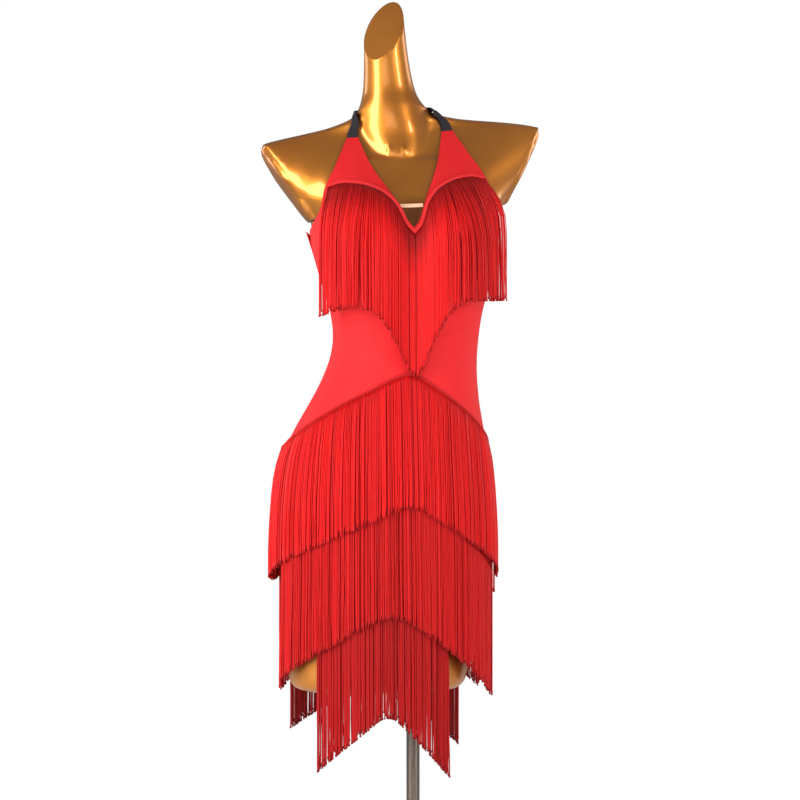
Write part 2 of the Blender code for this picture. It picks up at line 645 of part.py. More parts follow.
def drape(starts, lift, lengths, fan, count):
    """Paths that hang from their starts, fan out, and slide down the form where it is wider."""
    places = starts.copy()
    paths = [places]
    travel = np.zeros(len(starts))
    travels = [travel]
    for step in range(int(max(lengths) / DRAPE_STEP) + 2):
        lower = places - np.array([0, 0, DRAPE_STEP])
        fallen = step * DRAPE_STEP
        spread = smooth_step((fallen + DRAPE_STEP) / BUST_FAN_RUN)
        lower[:, 0] += fan * (spread - smooth_step(fallen / BUST_FAN_RUN))
        lower = push_out(lower, lift(travel + DRAPE_STEP))
        travel = travel + np.linalg.norm(lower - places, axis=1)
        places = lower
        paths.append(places)
        travels.append(travel)
    paths, travels = np.array(paths), np.array(travels)
    drapes = []
    for row, length in enumerate(lengths):
        wanted = np.linspace(0, length, count + 1)
        own = [np.interp(wanted, travels[:, row], paths[:, row, axis]) for axis in range(3)]
        drapes.append(np.stack(own, axis=1))
    return np.array(drapes)


def lock_angles(start, end, heading, locks):
    """Angle of both sides of each lock, spaced evenly along the heading."""
    dense = np.linspace(start, end, HEADING_STEPS)
    line = point(dense, heading(dense), np.full(HEADING_STEPS, TAPE_CLEARANCE))
    run = np.concatenate([[0], np.cumsum(np.linalg.norm(np.diff(line, axis=0), axis=1))])
    widths = [LOCK_SHARE, 1 - LOCK_SHARE] * locks
    marks = np.concatenate([[0], np.cumsum(widths[:-1])])
    return np.interp(marks / marks[-1] * run[-1], run, dense)


def build_tape(build, angles, tops):
    """Narrow strip on the cloth; its lower face is left open under each lock."""
    rows = []
    outer = TAPE_CLEARANCE + TAPE_THICKNESS
    for drop, clearance in ((0, outer), (TAPE_WIDTH, outer),
                            (TAPE_WIDTH, TAPE_CLEARANCE), (0, TAPE_CLEARANCE)):
        places = point(angles, tops - drop, np.full(len(angles), clearance))
        rows.append([build.verts.new(place) for place in places])
    for one in range(len(angles) - 1):
        for side in range(4):
            over_lock = side == 1 and one % 2 == 0
            if not over_lock:
                low, high = rows[side], rows[(side + 1) % 4]
                build.faces.new((low[one], low[one + 1], high[one + 1], high[one]))
    for end in (0, -1):
        build.faces.new([row[end] for row in rows])
    return rows[1], rows[2]


def draw_lock(build, root, path, outward):
    """Flat lock from the four corners of its root down its path to a closed end."""
    across = root[1].co - root[0].co
    width = math.hypot(across.x, across.y)
    out = np.array([outward[0], outward[1], 0.0])
    out /= np.linalg.norm(out)
    side = np.array([-out[1], out[0], 0.0])
    if side @ np.array(across) < 0:
        side = -side
    previous = root
    last = len(path) - 1
    for step in range(1, last + 1):
        onward = path[min(step + 1, last)] - path[step - 1]
        face = np.cross(side, onward / np.linalg.norm(onward))
        if face @ out < 0:
            face = -face
        half, deep = side * width / 2, face * LOCK_THICKNESS / 2
        corners = (deep - half, deep + half, half - deep, -deep - half)
        ring = [build.verts.new(path[step] + shift) for shift in corners]
        for one in range(4):
            two = (one + 1) % 4
            build.faces.new((previous[one], previous[two], ring[two], ring[one]))
        previous = ring
    build.faces.new(previous)


def bust_strands(angles):
    """Length of the bust's strands and how far they fan out, by the angle of their roots."""
    shortest, longest = BUST_LONGER_ANGLE[1], BUST_LONGER_ANGLE[0]
    near = smooth_step((shortest - abs(angles)) / (shortest - longest))
    fan = np.where(angles < 0, BUST_FAN[0], BUST_FAN[1])
    return STRAND_LENGTH + BUST_LONGER * near, fan * (angles / BUST_HEADING[-1][0]) ** 2


def tier_strands(angles):
    return np.full(len(angles), STRAND_LENGTH), np.zeros(len(angles))


def build_fringe(name, heading, reach, strands, lift, locks, segments, finish):
    """Heading tape along a line on the cloth, with locks drawn down from its lower edge."""
    angles = lock_angles(*reach, heading, locks)
    build = bmesh.new()
    outer, inner = build_tape(build, angles, heading(angles) - TAPE_BELOW_SEAM)
    roots = []
    for one in range(0, len(angles) - 1, 2):
        roots.append([outer[one], outer[one + 1], inner[one + 1], inner[one]])
    starts = np.array([sum((v.co for v in root), Vector()) / 4 for root in roots])
    middles = (angles[0::2] + angles[1::2]) / 2
    outward = normal(middles, heading(middles))
    paths = drape(starts, lift, *strands(middles), segments)
    for root, path, out in zip(roots, paths, outward):
        draw_lock(build, root, path, out)
    bmesh.ops.recalc_face_normals(build, faces=build.faces[:])
    return add_object(name, build, finish)


def lift_free(travel, top=LOCK_LIFT, run=LIFT_RUN):
    """Clearance of a lock's middle from the form, by the length down it."""
    root = TAPE_CLEARANCE + TAPE_THICKNESS / 2
    return root + (top - root) * smooth_step(travel / run)


def lift_over(travel):
    rise = smooth_step((travel - OVER_START) / OVER_RUN)
    return lift_free(travel) + (LOCK_LIFT_OVER - LOCK_LIFT) * rise


def lift_bust(travel):
    return lift_free(travel, BUST_LIFT, BUST_LIFT_RUN)


def build_fringes(finish):
    """Each row: name, heading, angles of its two ends, strands, lift, locks, segments."""
    side, back = SIDE_SEAM - SIDE_GAP, SIDE_SEAM + SIDE_GAP
    first, last = BUST_HEADING[0][0], BUST_HEADING[-1][0]

    def bust_heading(angle):
        return edge_height(BUST_HEADING, angle)

    def about_back(reach):
        return 180 - reach, 180 + reach

    rows = (
        ("bust_fringe_left", bust_heading, (-last, -first), bust_strands, lift_bust, 15, 7),
        ("bust_fringe_right", bust_heading, (first, last), bust_strands, lift_bust, 15, 7),
        ("fringe_front_1", hip_front, (-side, side), tier_strands, lift_over, 24, 5),
        ("fringe_back_1", hip_back_fringe, (back, 360 - back), tier_strands, lift_over, 22, 5),
        ("fringe_front_2", thigh_front, THIGH_SIDES, tier_strands,
         lift_over, 21, 4),
        ("fringe_back_2", thigh_back, about_back(THIGH_REACH_BACK), tier_strands,
         lift_over, 18, 4),
        ("fringe_front_3", tongue_front, TONGUE_SIDES, tier_strands, lift_free, 12, 3),
        ("fringe_back_3", tongue_back, about_back(TONGUE_REACH_BACK), tier_strands,
         lift_free, 16, 3),
    )
    for row in rows:
        build_fringe(*row, finish)


def main():
    for old in list(bpy.data.objects):
        bpy.data.objects.remove(old)
    gold = material("gold", (0.62, 0.38, 0.12), 0.28, 1.0)
    steel = material("steel", (0.62, 0.60, 0.58), 0.30, 1.0)
    plate = material("plate", (0.58, 0.57, 0.56), 0.35, 1.0)
    red = material("red_stretch", (0.82, 0.03, 0.05), 0.70)
    fringe = material("red_fringe", (0.75, 0.02, 0.03), 0.55)
    black = material("black_elastic", (0.03, 0.03, 0.04), 0.75)
    flesh = material("flesh_elastic", (0.85, 0.55, 0.42), 0.70)
    build_form(gold)
    build_stand(steel, plate)
    build_cloth(red)
    build_neckband(black)
    build_bar(flesh)
    build_fringes(fringe)


main()
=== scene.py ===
import math

import bmesh
import bpy
import numpy as np
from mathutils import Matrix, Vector


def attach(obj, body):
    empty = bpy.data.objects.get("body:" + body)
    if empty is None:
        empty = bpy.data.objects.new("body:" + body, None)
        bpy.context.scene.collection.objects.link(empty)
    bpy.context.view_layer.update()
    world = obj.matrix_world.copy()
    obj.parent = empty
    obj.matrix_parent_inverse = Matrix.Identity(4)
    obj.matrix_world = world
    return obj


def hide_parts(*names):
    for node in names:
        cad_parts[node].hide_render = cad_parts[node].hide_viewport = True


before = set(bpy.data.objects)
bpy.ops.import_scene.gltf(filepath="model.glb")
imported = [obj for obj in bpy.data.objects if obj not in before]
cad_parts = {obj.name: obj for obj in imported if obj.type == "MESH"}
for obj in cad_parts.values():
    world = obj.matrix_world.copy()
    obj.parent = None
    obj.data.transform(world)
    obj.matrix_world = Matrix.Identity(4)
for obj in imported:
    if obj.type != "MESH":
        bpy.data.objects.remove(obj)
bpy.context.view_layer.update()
print("frame loaded")


# small helpers
def wakeAlone(piece):
    bpy.ops.object.select_all(action="DESELECT")
    piece.select_set(True)
    bpy.context.view_layer.objects.active = piece


def applyAll(piece):
    wakeAlone(piece)
    for modifier in list(piece.modifiers):
        bpy.ops.object.modifier_apply(modifier=modifier.name)


def copyNode(nodeName, pieceName):  # own merged copy of a CAD node, in quads again
    piece = bpy.data.objects.new(pieceName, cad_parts[nodeName].data.copy())
    bpy.context.scene.collection.objects.link(piece)
    wakeAlone(piece)
    bpy.ops.object.mode_set(mode="EDIT")
    bpy.ops.mesh.select_all(action="SELECT")
    bpy.ops.mesh.remove_doubles(threshold=0.00002)
    bpy.ops.mesh.tris_convert_to_quads(
        face_threshold=math.radians(60), shape_threshold=math.radians(60))
    bpy.ops.mesh.customdata_custom_splitnormals_clear()
    bpy.ops.object.mode_set(mode="OBJECT")
    piece.data.shade_smooth()
    return piece


def faceOutward(piece):
    wakeAlone(piece)
    bpy.ops.object.mode_set(mode="EDIT")
    bpy.ops.mesh.select_all(action="SELECT")
    bpy.ops.mesh.normals_make_consistent(inside=False)
    bpy.ops.object.mode_set(mode="OBJECT")


def pick(piece, kind, chosen):  # opens the piece for editing with the chosen elements selected
    wakeAlone(piece)
    bpy.ops.object.mode_set(mode="EDIT")
    bpy.ops.mesh.select_mode(type=kind)
    bpy.ops.mesh.select_all(action="DESELECT")
    bpy.ops.object.mode_set(mode="OBJECT")
    elements = piece.data.polygons if kind == "FACE" else piece.data.vertices
    elements.foreach_set("select", chosen)
    bpy.ops.object.mode_set(mode="EDIT")


def smoothen(piece, levels, **settings):
    smoother = piece.modifiers.new("smooth", "SUBSURF")
    smoother.levels = smoother.render_levels = levels
    for label, value in settings.items():
        setattr(smoother, label, value)
    applyAll(piece)


def creaseSharp(piece, angle, amount):  # keeps the sharp edges when a piece is smoothed
    wakeAlone(piece)
    bpy.ops.object.mode_set(mode="EDIT")
    bpy.ops.mesh.select_mode(type="EDGE")
    bpy.ops.mesh.select_all(action="DESELECT")
    bpy.ops.mesh.edges_select_sharp(sharpness=math.radians(angle))
    bpy.ops.transform.edge_crease(value=amount)
    bpy.ops.object.mode_set(mode="OBJECT")


def readPoints(piece):
    spots = np.empty(len(piece.data.vertices) * 3)
    piece.data.vertices.foreach_get("co", spots)
    return spots.reshape(-1, 3)


def readNormals(piece):
    ways = np.empty(len(piece.data.vertices) * 3)
    piece.data.vertex_normals.foreach_get("vector", ways)
    return ways.reshape(-1, 3)


def writePoints(piece, spots):
    piece.data.vertices.foreach_set("co", np.asarray(spots, float).ravel())
    piece.data.update()


def writeUv(piece, mapName, u, v):  # one value per vertex, spread to its corners
    corners = np.empty(len(piece.data.loops), int)
    piece.data.loops.foreach_get("vertex_index", corners)
    layer = piece.data.uv_layers.get(mapName) or piece.data.uv_layers.new(name=mapName)
    layer.data.foreach_set("uv", np.stack([u[corners], v[corners]], axis=1).ravel())


def dress(piece, material, node=None):  # finish, body, stand-in and slot
    piece.data.materials.clear()
    piece.data.materials.append(material)
    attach(piece, "root")
    if node:
        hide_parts(node)


def between(values, low, high):
    return (values > low) & (values < high)


def smoothStep(values, low, high):  # nought up to low, one from high
    part = np.clip((values - low) / (high - low), 0, 1)
    return part ** 2 * (3 - 2 * part)


def nearBy(values, middle, spread):  # soft hill of height one
    return np.exp(-((values - middle) / spread) ** 2)


def unit(ways):
    return ways / np.maximum(np.linalg.norm(ways, axis=-1, keepdims=True), 1e-9)


def runLength(lines):  # metres along each line, or along a single line
    steps = np.linalg.norm(np.diff(lines, axis=-2), axis=-1)
    return np.concatenate([np.zeros((*steps.shape[:-1], 1)), np.cumsum(steps, axis=-1)], axis=-1)


def evenSteps(line, run, even):  # points of the line at even places along it
    return np.stack([np.interp(even, run, line[:, axis]) for axis in range(3)], axis=1)


# shader node helpers
def calculate(tree, operation, *values):  # one maths node, fed by sockets or numbers
    node = tree.nodes.new("ShaderNodeMath")
    node.operation = operation
    for place, value in enumerate(values):
        if isinstance(value, (int, float)):
            node.inputs[place].default_value = value
        else:
            tree.links.new(value, node.inputs[place])
    return node.outputs[0]


def ramp(tree, value, low, high, toLow=0.0, toHigh=1.0):
    node = tree.nodes.new("ShaderNodeMapRange")
    node.inputs["From Min"].default_value = low
    node.inputs["From Max"].default_value = high
    node.inputs["To Min"].default_value = toLow
    node.inputs["To Max"].default_value = toHigh
    tree.links.new(value, node.inputs["Value"])
    return node.outputs["Result"]


def blend(tree, factor, first, second):  # colours, or sockets of colours
    node = tree.nodes.new("ShaderNodeMix")
    node.data_type = "RGBA"
    for label, value in (("A", first), ("B", second)):
        socket = next(s for s in node.inputs if s.name == label and s.type == "RGBA")
        if isinstance(value, tuple):
            socket.default_value = (*value, 1)
        else:
            tree.links.new(value, socket)
    tree.links.new(factor, node.inputs["Factor"])
    return next(s for s in node.outputs if s.type == "RGBA")


# camera, light and floor
camera = {"height": 0.99, "distance": 3.6, "turn": -8.0, "sideways": 0.02145,
          "frameWidth": 1.32, "sensor": 36}
floor = {"width": 3.2, "colour": (0.86, 0.86, 0.85), "roughness": 0.7}
lights = {  # degrees from the camera's side, distance, height, width, length, watts
    "softLeft": (-50, 2.4, 1.50, 1.00, 2.6, 68),
    "softRight": (48, 2.6, 1.20, 0.45, 2.2, 36),
    "frontFill": (-8, 3.4, 1.20, 1.60, 1.8, 15),
    "backLeft": (-122, 2.6, 1.50, 0.90, 1.6, 12),
    "backRight": (122, 2.6, 1.50, 0.90, 1.6, 12),
}
room = {  # brightness low down, overhead and behind, and the ways between which they change
    "low": 0.44, "high": 0.33, "overhead": (-0.10, 0.55), "behind": 0.5, "rear": (0.2, 0.9)}


def buildCamera():
    turn = math.radians(camera["turn"])
    right = Vector((math.cos(turn), math.sin(turn), 0))
    ahead = Vector((-math.sin(turn), math.cos(turn), 0))
    lens = bpy.data.cameras.new("camera")
    lens.sensor_width = camera["sensor"]
    lens.lens = camera["sensor"] * camera["distance"] / camera["frameWidth"]
    holder = bpy.data.objects.new("camera", lens)
    holder.location = (Vector((0, 0, camera["height"])) - ahead * camera["distance"]
                       - right * camera["sideways"])
    holder.rotation_euler = (math.radians(90), 0, turn)
    bpy.context.scene.collection.objects.link(holder)
    bpy.context.scene.camera = holder


def buildLights():
    aim = Vector((0, 0, 1.05))
    for name, (turn, distance, height, width, length, watts) in lights.items():
        lamp = bpy.data.lights.new(name, "AREA")
        lamp.shape = "RECTANGLE"
        lamp.size = width
        lamp.size_y = length
        lamp.energy = watts
        holder = bpy.data.objects.new(name, lamp)
        bpy.context.scene.collection.objects.link(holder)
        way = math.radians(camera["turn"] + turn)
        holder.location = (math.sin(way) * distance, -math.cos(way) * distance, height)
        holder.rotation_euler = (aim - holder.location).to_track_quat("-Z", "Y").to_euler()


def buildRoom():  # white to the eye, darker overhead and behind for what it lights
    world = bpy.data.worlds.new("studio")
    bpy.context.scene.world = world
    world.use_nodes = True
    tree = world.node_tree
    shade = tree.nodes["Background"]
    split = tree.nodes.new("ShaderNodeSeparateXYZ")
    tree.links.new(tree.nodes.new("ShaderNodeTexCoord").outputs["Generated"], split.inputs[0])
    overhead = ramp(tree, split.outputs["Z"], *room["overhead"], room["low"], room["high"])
    overhead.node.interpolation_type = "SMOOTHSTEP"
    rear = ramp(tree, split.outputs["Y"], *room["rear"], 1.0, room["behind"])
    dim = calculate(tree, "MULTIPLY", overhead, rear)
    shown = tree.nodes.new("ShaderNodeMix")
    shown.inputs["B"].default_value = 1.0
    eye = tree.nodes.new("ShaderNodeLightPath")
    tree.links.new(eye.outputs["Is Camera Ray"], shown.inputs["Factor"])
    tree.links.new(dim, shown.inputs["A"])
    shade.inputs["Color"].default_value = (1, 1, 1, 1)
    tree.links.new(shown.outputs["Result"], shade.inputs["Strength"])
    bpy.context.scene.view_settings.view_transform = "Standard"


def buildFloor():
    bpy.ops.mesh.primitive_plane_add(size=floor["width"])
    ground = bpy.context.object
    ground.name = "floor"
    paint = bpy.data.materials.new("paleFloor")
    paint.use_nodes = True
    shader = paint.node_tree.nodes["Principled BSDF"]
    shader.inputs["Base Color"].default_value = (*floor["colour"], 1)
    shader.inputs["Roughness"].default_value = floor["roughness"]
    ground.data.materials.append(paint)


buildCamera()
buildLights()
buildRoom()
buildFloor()
print("camera, lights and floor ready")


# shared shader groups
def newGroup(name, inputs, outputs):
    group = bpy.data.node_groups.new(name, "ShaderNodeTree")
    for label, kind, value in inputs:
        socket = group.interface.new_socket(label, in_out="INPUT", socket_type=kind)
        if value is not None:
            socket.default_value = value
    for label, kind in outputs:
        group.interface.new_socket(label, in_out="OUTPUT", socket_type=kind)
    return group, group.nodes.new("NodeGroupInput"), group.nodes.new("NodeGroupOutput")


def mottleGroup():  # soft cloudy variation, about zero
    group, source, sink = newGroup(
        "softMottle",
        [("Vector", "NodeSocketVector", None), ("Scale", "NodeSocketFloat", 20.0),
         ("Detail", "NodeSocketFloat", 3.0)],
        [("Value", "NodeSocketFloat")])
    cloud = group.nodes.new("ShaderNodeTexNoise")
    group.links.new(source.outputs["Vector"], cloud.inputs["Vector"])
    group.links.new(source.outputs["Scale"], cloud.inputs["Scale"])
    group.links.new(source.outputs["Detail"], cloud.inputs["Detail"])
    centred = calculate(group, "SUBTRACT", cloud.outputs["Fac"], 0.5)
    group.links.new(centred, sink.inputs["Value"])
    return group


def knitGroup():  # wales and courses of a fine knit or woven band, from a map in metres
    group, source, sink = newGroup(
        "fineKnit",
        [("Vector", "NodeSocketVector", None), ("Wale", "NodeSocketFloat", 0.0011),
         ("Course", "NodeSocketFloat", 0.0009)],
        [("Height", "NodeSocketFloat"), ("Groove", "NodeSocketFloat")])
    split = group.nodes.new("ShaderNodeSeparateXYZ")
    group.links.new(source.outputs["Vector"], split.inputs[0])
    across = calculate(group, "DIVIDE", split.outputs["X"], source.outputs["Wale"])
    along = calculate(group, "DIVIDE", split.outputs["Y"], source.outputs["Course"])
    wale = calculate(group, "SINE", calculate(group, "MULTIPLY", across, 2 * math.pi))
    bend = calculate(group, "MULTIPLY", calculate(group, "ABSOLUTE", wale), 0.35)
    loops = calculate(group, "ADD", along, bend)
    course = calculate(group, "SINE", calculate(group, "MULTIPLY", loops, 2 * math.pi))
    both = calculate(group, "ADD", calculate(group, "MULTIPLY", wale, 0.6),
                     calculate(group, "MULTIPLY", course, 0.4))
    group.links.new(both, sink.inputs["Height"])
    group.links.new(ramp(group, both, -1.0, -0.2, 1.0, 0.0), sink.inputs["Groove"])
    return group


def strandGroup():  # two-ply twist from a map of turns and metres
    group, source, sink = newGroup(
        "cordTwist",
        [("Vector", "NodeSocketVector", None), ("Pitch", "NodeSocketFloat", 0.0032)],
        [("Height", "NodeSocketFloat"), ("Groove", "NodeSocketFloat")])
    split = group.nodes.new("ShaderNodeSeparateXYZ")
    group.links.new(source.outputs["Vector"], split.inputs[0])
    along = calculate(group, "DIVIDE", split.outputs["Y"], source.outputs["Pitch"])
    turns = calculate(group, "ADD", calculate(group, "MULTIPLY", split.outputs["X"], 2), along)
    wave = calculate(group, "SINE", calculate(group, "MULTIPLY", turns, 2 * math.pi))
    group.links.new(wave, sink.inputs["Height"])
    group.links.new(ramp(group, wave, -1.0, -0.1, 1.0, 0.0), sink.inputs["Groove"])
    return group


softMottle = mottleGroup()
fineKnit = knitGroup()
cordTwist = strandGroup()


def newMaterial(name, roughness, **constants):
    made = bpy.data.materials.new(name)
    made.use_nodes = True
    shader = made.node_tree.nodes["Principled BSDF"]
    shader.inputs["Roughness"].default_value = roughness
    for label, value in constants.items():
        shader.inputs[label.replace("_", " ")].default_value = value
    return made, made.node_tree, shader


def placeGroup(tree, group, vector, **values):
    node = tree.nodes.new("ShaderNodeGroup")
    node.node_tree = group
    tree.links.new(vector, node.inputs["Vector"])
    for label, value in values.items():
        node.inputs[label].default_value = value
    return node.outputs


def objectPlace(tree):
    return tree.nodes.new("ShaderNodeTexCoord").outputs["Object"]


def mapPlace(tree, mapName):
    node = tree.nodes.new("ShaderNodeUVMap")
    node.uv_map = mapName
    return node.outputs["UV"]


def addBump(tree, shader, height, depth, strength=1.0):
    node = tree.nodes.new("ShaderNodeBump")
    node.inputs["Strength"].default_value = strength
    node.inputs["Distance"].default_value = depth
    tree.links.new(height, node.inputs["Height"])
    tree.links.new(node.outputs["Normal"], shader.inputs["Normal"])


# gold dress form
form = {
    "levels": 2, "sharpFrom": 38.0, "crease": 0.9, "capCrease": 0.5, "capsBelow": 1.5,
    "colour": (0.70, 0.262, 0.033), "deepColour": (0.57, 0.180, 0.019), "roughness": 0.36,
    "smoother": 0.03, "rougher": 0.05, "metallic": 0.92, "coat": 0.60, "coatRoughness": 0.10,
    # painted shade: crevices found by ambient occlusion turn dark brown
    "creviceShadeColour": (0.16, 0.040, 0.008), "creviceReach": 0.035, "creviceOpen": (0.35, 0.95),
    # painted shadow: a dark spot in the hollow between the mounds, under the plunge bar
    "cleft": {"place": (-0.0090, -0.0750, 1.2800), "core": 0.018, "reach": 0.045, "least": 0.15},
    "caps": {  # the flat shoulder ends, which swell a little
        "ends": (  # a point of each, the way it faces, dome height and width
            ((-0.1980, 0, 1.3415), (-0.822, 0, -0.569), 0.0150, 0.050),
            ((0.1820, 0, 1.3795), (0.886, 0, -0.464), 0.0110, 0.045)),
        "tolerance": 0.0025, "likeness": 0.97, "heights": (1.25, 1.44),
        "swellFrom": (1.262, 1.300), "rimDepth": 0.012, "rimWidth": 0.004,
        "easeHeights": (1.275, 1.44), "easeBeyond": (-0.155, 0.140), "rounds": 8},
    # zones at the front of the neck: heights, reach to each side, how far back, smoothing rounds
    "middle": -0.030,
    "root": {"heights": (1.400, 1.500), "reach": 0.105, "back": 0.060, "rounds": 40},
    "throat": {"heights": (1.250, 1.470), "reach": 0.085, "back": 0.010, "rounds": 6, "cuts": 2},
    "edge": {"heights": (1.372, 1.402), "reach": 0.080, "back": 0.000, "rounds": 3},
    "foot": {  # the neck's upright rounded foot, its values at two heights
        "heights": (1.39, 1.47), "middle": (-0.021, -0.033), "front": (-0.0405, -0.0328),
        "radii": (0.052, 0.045), "sides": (0.050, 0.080), "end": (1.379, 1.392),
        "top": (1.468, 1.505), "back": 0.010, "most": 0.006},
    "bones": (  # small heads under the neck: place across, height, half width and rise
        (-0.0440, 1.3985, 0.0042, 0.0024), (-0.0200, 1.3985, 0.0042, 0.0024),
        (-0.0390, 1.3560, 0.0040, 0.0012)),
    "boneStretch": 1.7,
}


def goldLacquer():
    made, tree, shader = newMaterial(
        "goldLacquer", form["roughness"], Metallic=form["metallic"], Coat_Weight=form["coat"],
        Coat_Roughness=form["coatRoughness"])
    place = objectPlace(tree)
    cloud = placeGroup(tree, softMottle, place, Scale=7.0, Detail=2.0)["Value"]
    speck = placeGroup(tree, softMottle, place, Scale=420.0, Detail=1.0)["Value"]
    gold = blend(tree, ramp(tree, cloud, -0.2, 0.2), form["deepColour"], form["colour"])
    # painted shade: the gold is darker in crevices, found by ambient occlusion
    crevice = tree.nodes.new("ShaderNodeAmbientOcclusion")
    crevice.inputs["Distance"].default_value = form["creviceReach"]
    bare = ramp(tree, crevice.outputs["AO"], *form["creviceOpen"])
    # painted shadow round a point in the hollow under the plunge bar
    cleft = tree.nodes.new("ShaderNodeVectorMath")
    cleft.operation = "DISTANCE"
    cleft.inputs[1].default_value = form["cleft"]["place"]
    tree.links.new(place, cleft.inputs[0])
    near = ramp(tree, cleft.outputs["Value"], form["cleft"]["core"], form["cleft"]["reach"],
                form["cleft"]["least"], 1.0)
    tree.links.new(blend(tree, calculate(tree, "MULTIPLY", bare, near),
                         form["creviceShadeColour"], gold), shader.inputs["Base Color"])
    tree.links.new(ramp(tree, cloud, -0.25, 0.25, form["roughness"] - form["smoother"],
                        form["roughness"] + form["rougher"]), shader.inputs["Roughness"])
    addBump(tree, shader, speck, depth=0.00006, strength=0.5)
    return made


def softenCaps(piece):  # the shoulder rims are rounder than the neck's
    creases = piece.data.attributes["crease_edge"].data
    for edge in piece.data.edges:
        low = piece.data.vertices[edge.vertices[0]].co.z < form["capsBelow"]
        if low and creases[edge.index].value:
            creases[edge.index].value = form["capCrease"]


def easePart(piece, chosen, rounds):  # evens out the chosen vertices
    pick(piece, "VERT", chosen)
    bpy.ops.mesh.vertices_smooth(factor=0.5, repeat=rounds)
    bpy.ops.object.mode_set(mode="OBJECT")


def inZone(spots, zone):
    x, y, z = spots.T
    near = abs(x - form["middle"]) < zone["reach"]
    return between(z, *zone["heights"]) & near & (y < zone["back"])


def easeZone(piece, zone):
    easePart(piece, inZone(readPoints(piece), zone), zone["rounds"])


def refineZone(piece, zone):  # closer faces where the small forms go
    centres = np.array([face.center[:] for face in piece.data.polygons])
    pick(piece, "FACE", inZone(centres, zone))
    bpy.ops.mesh.subdivide(number_cuts=zone["cuts"], smoothness=0.0)
    bpy.ops.mesh.vertices_smooth(factor=0.5, repeat=zone["rounds"])
    bpy.ops.object.mode_set(mode="OBJECT")


def domeCaps(piece, caps):
    spots, facing = readPoints(piece), readNormals(piece)
    for point, way, height, width in caps["ends"]:
        way = unit(np.array(way))
        off = (spots - point) @ way
        flat = (abs(off) < caps["tolerance"]) & (facing @ way > caps["likeness"])
        face = np.flatnonzero(flat & between(spots[:, 2], *caps["heights"]))
        rim = np.flatnonzero(between(off, -caps["rimDepth"], -caps["tolerance"]))
        gaps = np.linalg.norm(spots[face][:, None] - spots[rim][None], axis=2).min(1)
        inward = np.clip((gaps - caps["rimWidth"]) / width, 0, 1)
        swell = height * np.sqrt(1 - (1 - inward) ** 2)
        swell *= smoothStep(spots[face, 2], *caps["swellFrom"])
        spots[face] += way * swell[:, None]
    writePoints(piece, spots)
    left, right = caps["easeBeyond"]
    ends = (spots[:, 0] < left) | (spots[:, 0] > right)
    easePart(piece, ends & between(spots[:, 2], *caps["easeHeights"]), caps["rounds"])


def footShift(spots, foot):  # how far to the back each point of the neck's foot goes
    x, y, z = spots.T
    across = x - np.interp(z, foot["heights"], foot["middle"])
    front = np.interp(z, foot["heights"], foot["front"])
    wanted = front + across ** 2 / (2 * np.where(across < 0, *foot["radii"])) - y
    window = 1 - smoothStep(abs(across), *foot["sides"])
    window *= smoothStep(z, *foot["end"]) * (1 - smoothStep(z, *foot["top"]))
    return foot["most"] * np.tanh(wanted / foot["most"]) * window * (y < foot["back"])


def boneRise(spots, ways):
    x, y, z = spots.T
    rise = np.zeros(len(spots))
    for middle, height, width, depth in form["bones"]:
        rise += depth * nearBy(x, middle, width) * nearBy(z, height, width * form["boneStretch"])
    return ways * (rise * np.clip(-ways[:, 1], 0, 1) * (y < 0))[:, None]


def buildForm():
    piece = copyNode("form", "dressForm")
    creaseSharp(piece, form["sharpFrom"], form["crease"])
    softenCaps(piece)
    smoothen(piece, form["levels"])
    domeCaps(piece, form["caps"])
    easeZone(piece, form["root"])
    refineZone(piece, form["throat"])
    spots = readPoints(piece)
    spots[:, 1] += footShift(spots, form["foot"])
    writePoints(piece, spots)
    easeZone(piece, form["edge"])
    spots = readPoints(piece)
    writePoints(piece, spots + boneRise(spots, readNormals(piece)))
    piece.data.shade_smooth()
    dress(piece, goldLacquer(), "form")


buildForm()
print("dress form ready")


# pole and base keep their solids, with steel streaked in colour: brushed grain and painted
# reflection streaks
stand = {
    "finishes": {  # CAD node: material, colour, roughness and how its streaks are stretched
        "pole": ("poleSteel", (0.33, 0.26, 0.215), 0.26, (900, 900, 6)),
        "base": ("plateSteel", (0.46, 0.44, 0.43), 0.34, (12, 700, 40))},
    "grainAndReflectionTone": 0.36, "smoother": 0.06, "rougher": 0.08,
}


def streakedSteel(name, colour, roughness, stretch):
    made, tree, shader = newMaterial(name, roughness, Metallic=1.0)
    squeeze = tree.nodes.new("ShaderNodeMapping")
    squeeze.inputs["Scale"].default_value = stretch
    tree.links.new(objectPlace(tree), squeeze.inputs["Vector"])
    streak = placeGroup(tree, softMottle, squeeze.outputs[0], Scale=1.0, Detail=4.0)["Value"]
    # brushed grain and painted reflection streaks: the colour darkens along the streaks
    darker = tuple(channel * stand["grainAndReflectionTone"] for channel in colour)
    tree.links.new(blend(tree, ramp(tree, streak, -0.3, 0.3), darker, colour),
                   shader.inputs["Base Color"])
    tree.links.new(ramp(tree, streak, -0.3, 0.3, roughness - stand["smoother"],
                        roughness + stand["rougher"]), shader.inputs["Roughness"])
    addBump(tree, shader, streak, depth=0.00004, strength=0.4)
    return made


def dressStand():
    for node, values in stand["finishes"].items():
        finish = streakedSteel(*values)
        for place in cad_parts[node].material_slots:
            place.material = finish


dressStand()
print("stand ready")


